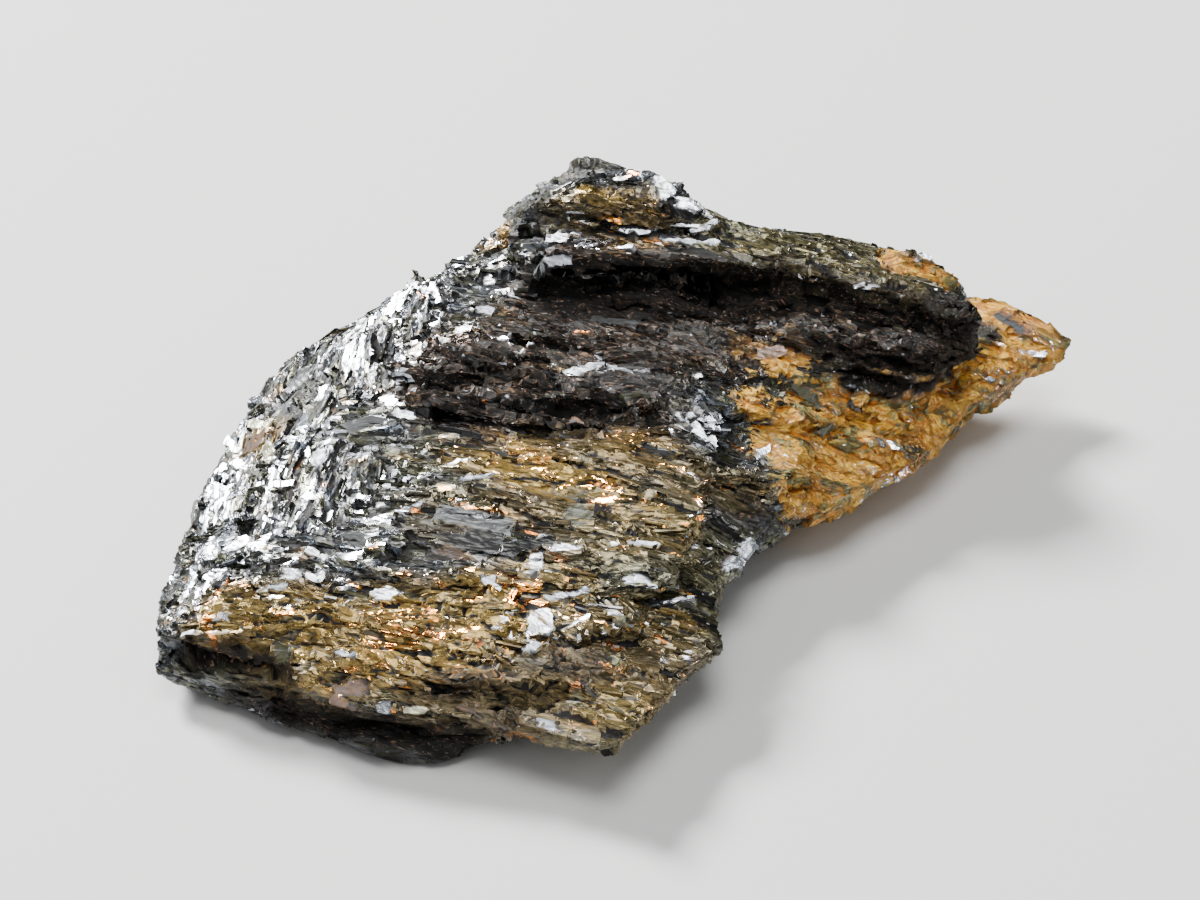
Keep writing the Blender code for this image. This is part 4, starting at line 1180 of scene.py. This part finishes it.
def plainRock(tree, at):
    grey = mixed(tree, passing(tree, at, "mottle", 0.55, 0.85, "tone", 0.3), "greyLight", "blueGrey")
    grey = mixed(tree, passing(tree, at, "mottle", 0.6, 0.4, "tone", 0.3), grey, "greenGrey")
    colour = mixed(tree, at["light"], "greyDark", grey)
    for name, low, high, dark, pale in coats:
        amount = times(tree, at[name], passing(tree, at, "mottle", low, high, "tone", 0.25), True)
        colour = mixed(tree, amount, colour, mixed(tree, at["light"], dark, pale))
    # reddish specks on the brown, partly painted glints of lit little faces
    return mixed(tree, times(tree, passing(tree, at, "grit", 0.56, 0.68), at["brown"]), colour, "reddishSpeckAndGlint")


def rustCrust(tree, at):
    crust = mixed(tree, passing(tree, at, "mottle", 0.42, 0.66, "speck", 0.12), "rustDark", "rustMiddle")
    crust = mixed(tree, passing(tree, at, "blotch", 0.58, 0.46, "tone", 0.15), crust,
                  mixed(tree, at["speck"], "rustRed", "rustDark"))
    crust = mixed(tree, passing(tree, at, "fleck", 0.56, 0.68, "tone", 0.1), crust, "rustLight")
    crust = mixed(tree, passing(tree, at, "grit", 0.6, 0.68), crust, "rustPale")
    crust = mixed(tree, passing(tree, at, "greenish", 0.56, 0.64, "speck", 0.08), crust,
                  mixed(tree, at["light"], "oliveDark", "rustOlive"))
    return mixed(tree, passing(tree, at, "fleck", 0.42, 0.3, "speck", 0.1), crust, "rustBlack")


def howRusty(tree, at):
    edge = varied(tree, at["fleck"], 1.0, varied(tree, at["blotch"], 2.2, at["rust"]))
    rusty = threshold(tree, timesPlus(tree, at["tone"], 0.6, edge), 0.7, 0.85)
    rusty = times(tree, rusty, timesPlus(tree, at["shade"], -1.6, 1.0), True)
    return times(tree, rusty, timesPlus(tree, passing(tree, at, "rust", 0.02, 0.3), 0.75, 0.25))


def darkened(tree, at, colour):
    # painted shade: the gaps of dropped-out pieces and the shade places made near black, with lighter and
    # reddish specks in them; then the grime between the grains
    colour = mixed(tree, at["gap"], colour, "shadeAndGrimeBlack")
    paintedShadeTone = mixed(tree, passing(tree, at, "light", 0.45, 0.9), "shadeAndGrimeBlack", "shadeLight")
    paintedShadeTone = mixed(tree, passing(tree, at, "grit", 0.64, 0.72), paintedShadeTone, "reddishSpeckAndGlint")
    colour = mixed(tree, times(tree, passing(tree, at, "shade", 0.15, 0.95), 0.96), colour, paintedShadeTone)
    gritty = timesPlus(tree, at["bronze"], -0.4, 0.7)
    return mixed(tree, times(tree, passing(tree, at, "grit", 0.48, 0.3), gritty), colour, "shadeAndGrimeBlack")


def brightened(tree, at, streak, colour):
    # pieces and little points that catch the light
    metal = mixed(tree, at["warm"], "silverMetal", mixed(tree, at["speck"], "goldMetal", "copperMetal"))
    metal = mixed(tree, times(tree, streak, 0.6), metal, "greyDark")
    colour = mixed(tree, times(tree, at["flash"], timesPlus(tree, at["speck"], 0.6, 0.25)), colour, metal)
    hue = timesPlus(tree, less(tree, at["copper"], at["gold"]), 0.6, at["tone"], True)
    warmly = times(tree, larger(tree, at["warmMetal"], at["bronze"]), 1.8, True)
    spark = mixed(tree, warmly, "silverMetal", mixed(tree, hue, "goldMetal", "copperMetal"))
    return mixed(tree, times(tree, at["glint"], 0.9), colour, spark)


def singleFace(tree, at):
    streaky = timesPlus(tree, at["crystalMetal"], -0.35, 0.85)
    tint = mixed(tree, times(tree, passing(tree, at, "fleck", 0.42, 0.66), streaky),
                 valueOf(tree, "crystalTint", "Color"), "greyDark")
    tint = mixed(tree, times(tree, passing(tree, at, "grit", 0.46, 0.62), at["crystalMetal"]), tint, "steel")
    pale = times(tree, passing(tree, at, "fleck", 0.54, 0.7), timesPlus(tree, at["crystalMetal"], -0.5, 0.5))
    return mixed(tree, pale, tint, "greyLight")


def rockLook(tree, at):
    # colour, how metallic and how rough the rock is
    rusty = howRusty(tree, at)
    streak = passing(tree, at, "fleck", 0.48, 0.68)
    single = threshold(tree, varied(tree, at["fleck"], 1.3, at["crystal"]), 0.34, 0.52)
    clearOfCrackShade = passing(tree, at, "hollow", 0.07, 0.01)  # painted shade in the crevices; on the rust they hold darker rust instead
    colour = mixed(tree, rusty, plainRock(tree, at), rustCrust(tree, at))
    colour = brightened(tree, at, streak, darkened(tree, at, colour))
    colour = mixed(tree, single, colour, singleFace(tree, at))
    # painted shade: the crevices made black, and darker rust where the crust is
    colour = mixed(tree, clearOfCrackShade, mixed(tree, rusty, "shadeAndGrimeBlack", "rustDark"), colour)
    # most of the rock has the silky shine of its blades; rust and the places of painted shade have little
    soft = timesPlus(tree, larger(tree, at["brown"], at["bronze"]), -0.15, 0.75)
    silky = times(tree, less(tree, 1.0, larger(tree, times(tree, rusty, 0.85), at["shade"])), soft)
    shiny = times(tree, at["flash"], timesPlus(tree, streak, -0.6, 1.0))
    shiny = larger(tree, larger(tree, shiny, silky), at["glint"])
    ownShine = times(tree, at["crystalMetal"], timesPlus(tree, streak, -0.4, 1.0))
    shiny = made(tree, "ShaderNodeMix", {"data_type": "FLOAT"}, _0=single, _2=shiny, _3=ownShine)
    shiny = times(tree, shiny, clearOfCrackShade)
    rough = timesPlus(tree, at["speck"], 0.1, timesPlus(tree, at["fleck"], 0.2, 0.05))
    dull = times(tree, rusty, less(tree, 1.0, larger(tree, shiny, single)))
    matt = larger(tree, larger(tree, at["gap"], at["shade"]), less(tree, 1.0, clearOfCrackShade))
    return colour, shiny, timesPlus(tree, matt, 0.45, timesPlus(tree, dull, 0.3, rough))


def rockNormal(tree, at):
    smooth = addNode(tree, "ShaderNodeNewGeometry").outputs["Normal"]
    split = blendedWays(tree, lustre["split"], smooth, valueOf(tree, "facing", "Vector"))
    split = made(tree, "ShaderNodeVectorMath", {"operation": "NORMALIZE"}, _0=split)
    # the rust lies in the shade of the ridge, where only the ceiling lamp reaches
    way = blendedWays(tree, passing(tree, at, "rust", 0.3, 0.5), tuple(glintWays[0]), tuple(glintWays[1]))
    normal = blendedWays(tree, times(tree, at["glint"], lustre["glint"]), split, way)
    ridges = drawn(tree, (0.6, 7.0, 7.0), 2.0, 0.6, "streakPlace")
    waves = drawn(tree, (1.2, 2.5, 2.5), 1.0, 0.5, "streakPlace")
    for height, depth in ((ridges, lustre["ridges"]), (waves, lustre["waves"])):
        normal = made(tree, "ShaderNodeBump", Height=height, Strength=1.0, Distance=depth * mm, Normal=normal)
    return normal


def newFinish(name, **values):
    finish = bpy.data.materials.new(name)
    finish.use_nodes = True
    tree = finish.node_tree
    for key, value in values.items():
        feed(tree, tree.nodes["Principled BSDF"].inputs[key.replace("_", " ")], value)
    return finish


def rockFinish(name, gloss):
    finish = newFinish(name, IOR=lustre["bending"], Specular_IOR_Level=gloss)
    tree = finish.node_tree
    at = rockFields(tree)
    colour, shiny, rough = rockLook(tree, at)
    shader = tree.nodes["Principled BSDF"].inputs
    for key, value in (("Base Color", colour), ("Metallic", shiny), ("Roughness", rough),
                       ("Normal", rockNormal(tree, at))):
        feed(tree, shader[key], value)
    return finish


room = {
    "floorSize": 1.2,  # m
    "floorColour": (0.72, 0.72, 0.71),
    "floorRoughness": 0.7,
    "lampDistance": 0.55,  # m
    "airColour": (0.9, 0.95, 1.0),
    "airBrightness": 0.08,
}


def makeFloor():
    half = room["floorSize"] / 2
    mesh = bpy.data.meshes.new("floor")
    corners = [(-half, -half, 0), (half, -half, 0), (half, half, 0), (-half, half, 0)]
    mesh.from_pydata(corners, [], [(0, 1, 2, 3)])
    mesh.materials.append(newFinish(
        "paleFloor", Base_Color=(*room["floorColour"], 1.0), Roughness=room["floorRoughness"]))
    placed("floor", mesh)


def makeRoom():
    makeFloor()
    for name, lamp in lamps.items():
        light = bpy.data.lights.new(name, "AREA")
        light.size = lamp["size"]
        light.energy = lamp["power"]
        holder = placed(name, light)
        back = towardsViewer(*lamp["from"])
        holder.location = back * room["lampDistance"]
        lookFrom(holder, back)
    world = bpy.data.worlds.new("air")
    bpy.context.scene.world = world
    world.use_nodes = True
    background = world.node_tree.nodes["Background"]
    background.inputs["Color"].default_value = (*room["airColour"], 1.0)
    background.inputs["Strength"].default_value = room["airBrightness"]


body = makeRockBody()
body.data.materials.append(rockFinish("splitRock", 0.5))
# a duller copy of the finish for the faces in painted shade
body.data.materials.append(rockFinish("shadedRock", 0.12))
blades = growSplinters(body, body.data.materials[0])
pieces = [body, blades]
for piece in pieces:
    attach(piece, "root")
    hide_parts("nuummite_stone")
makeRoom()
print("room lit")
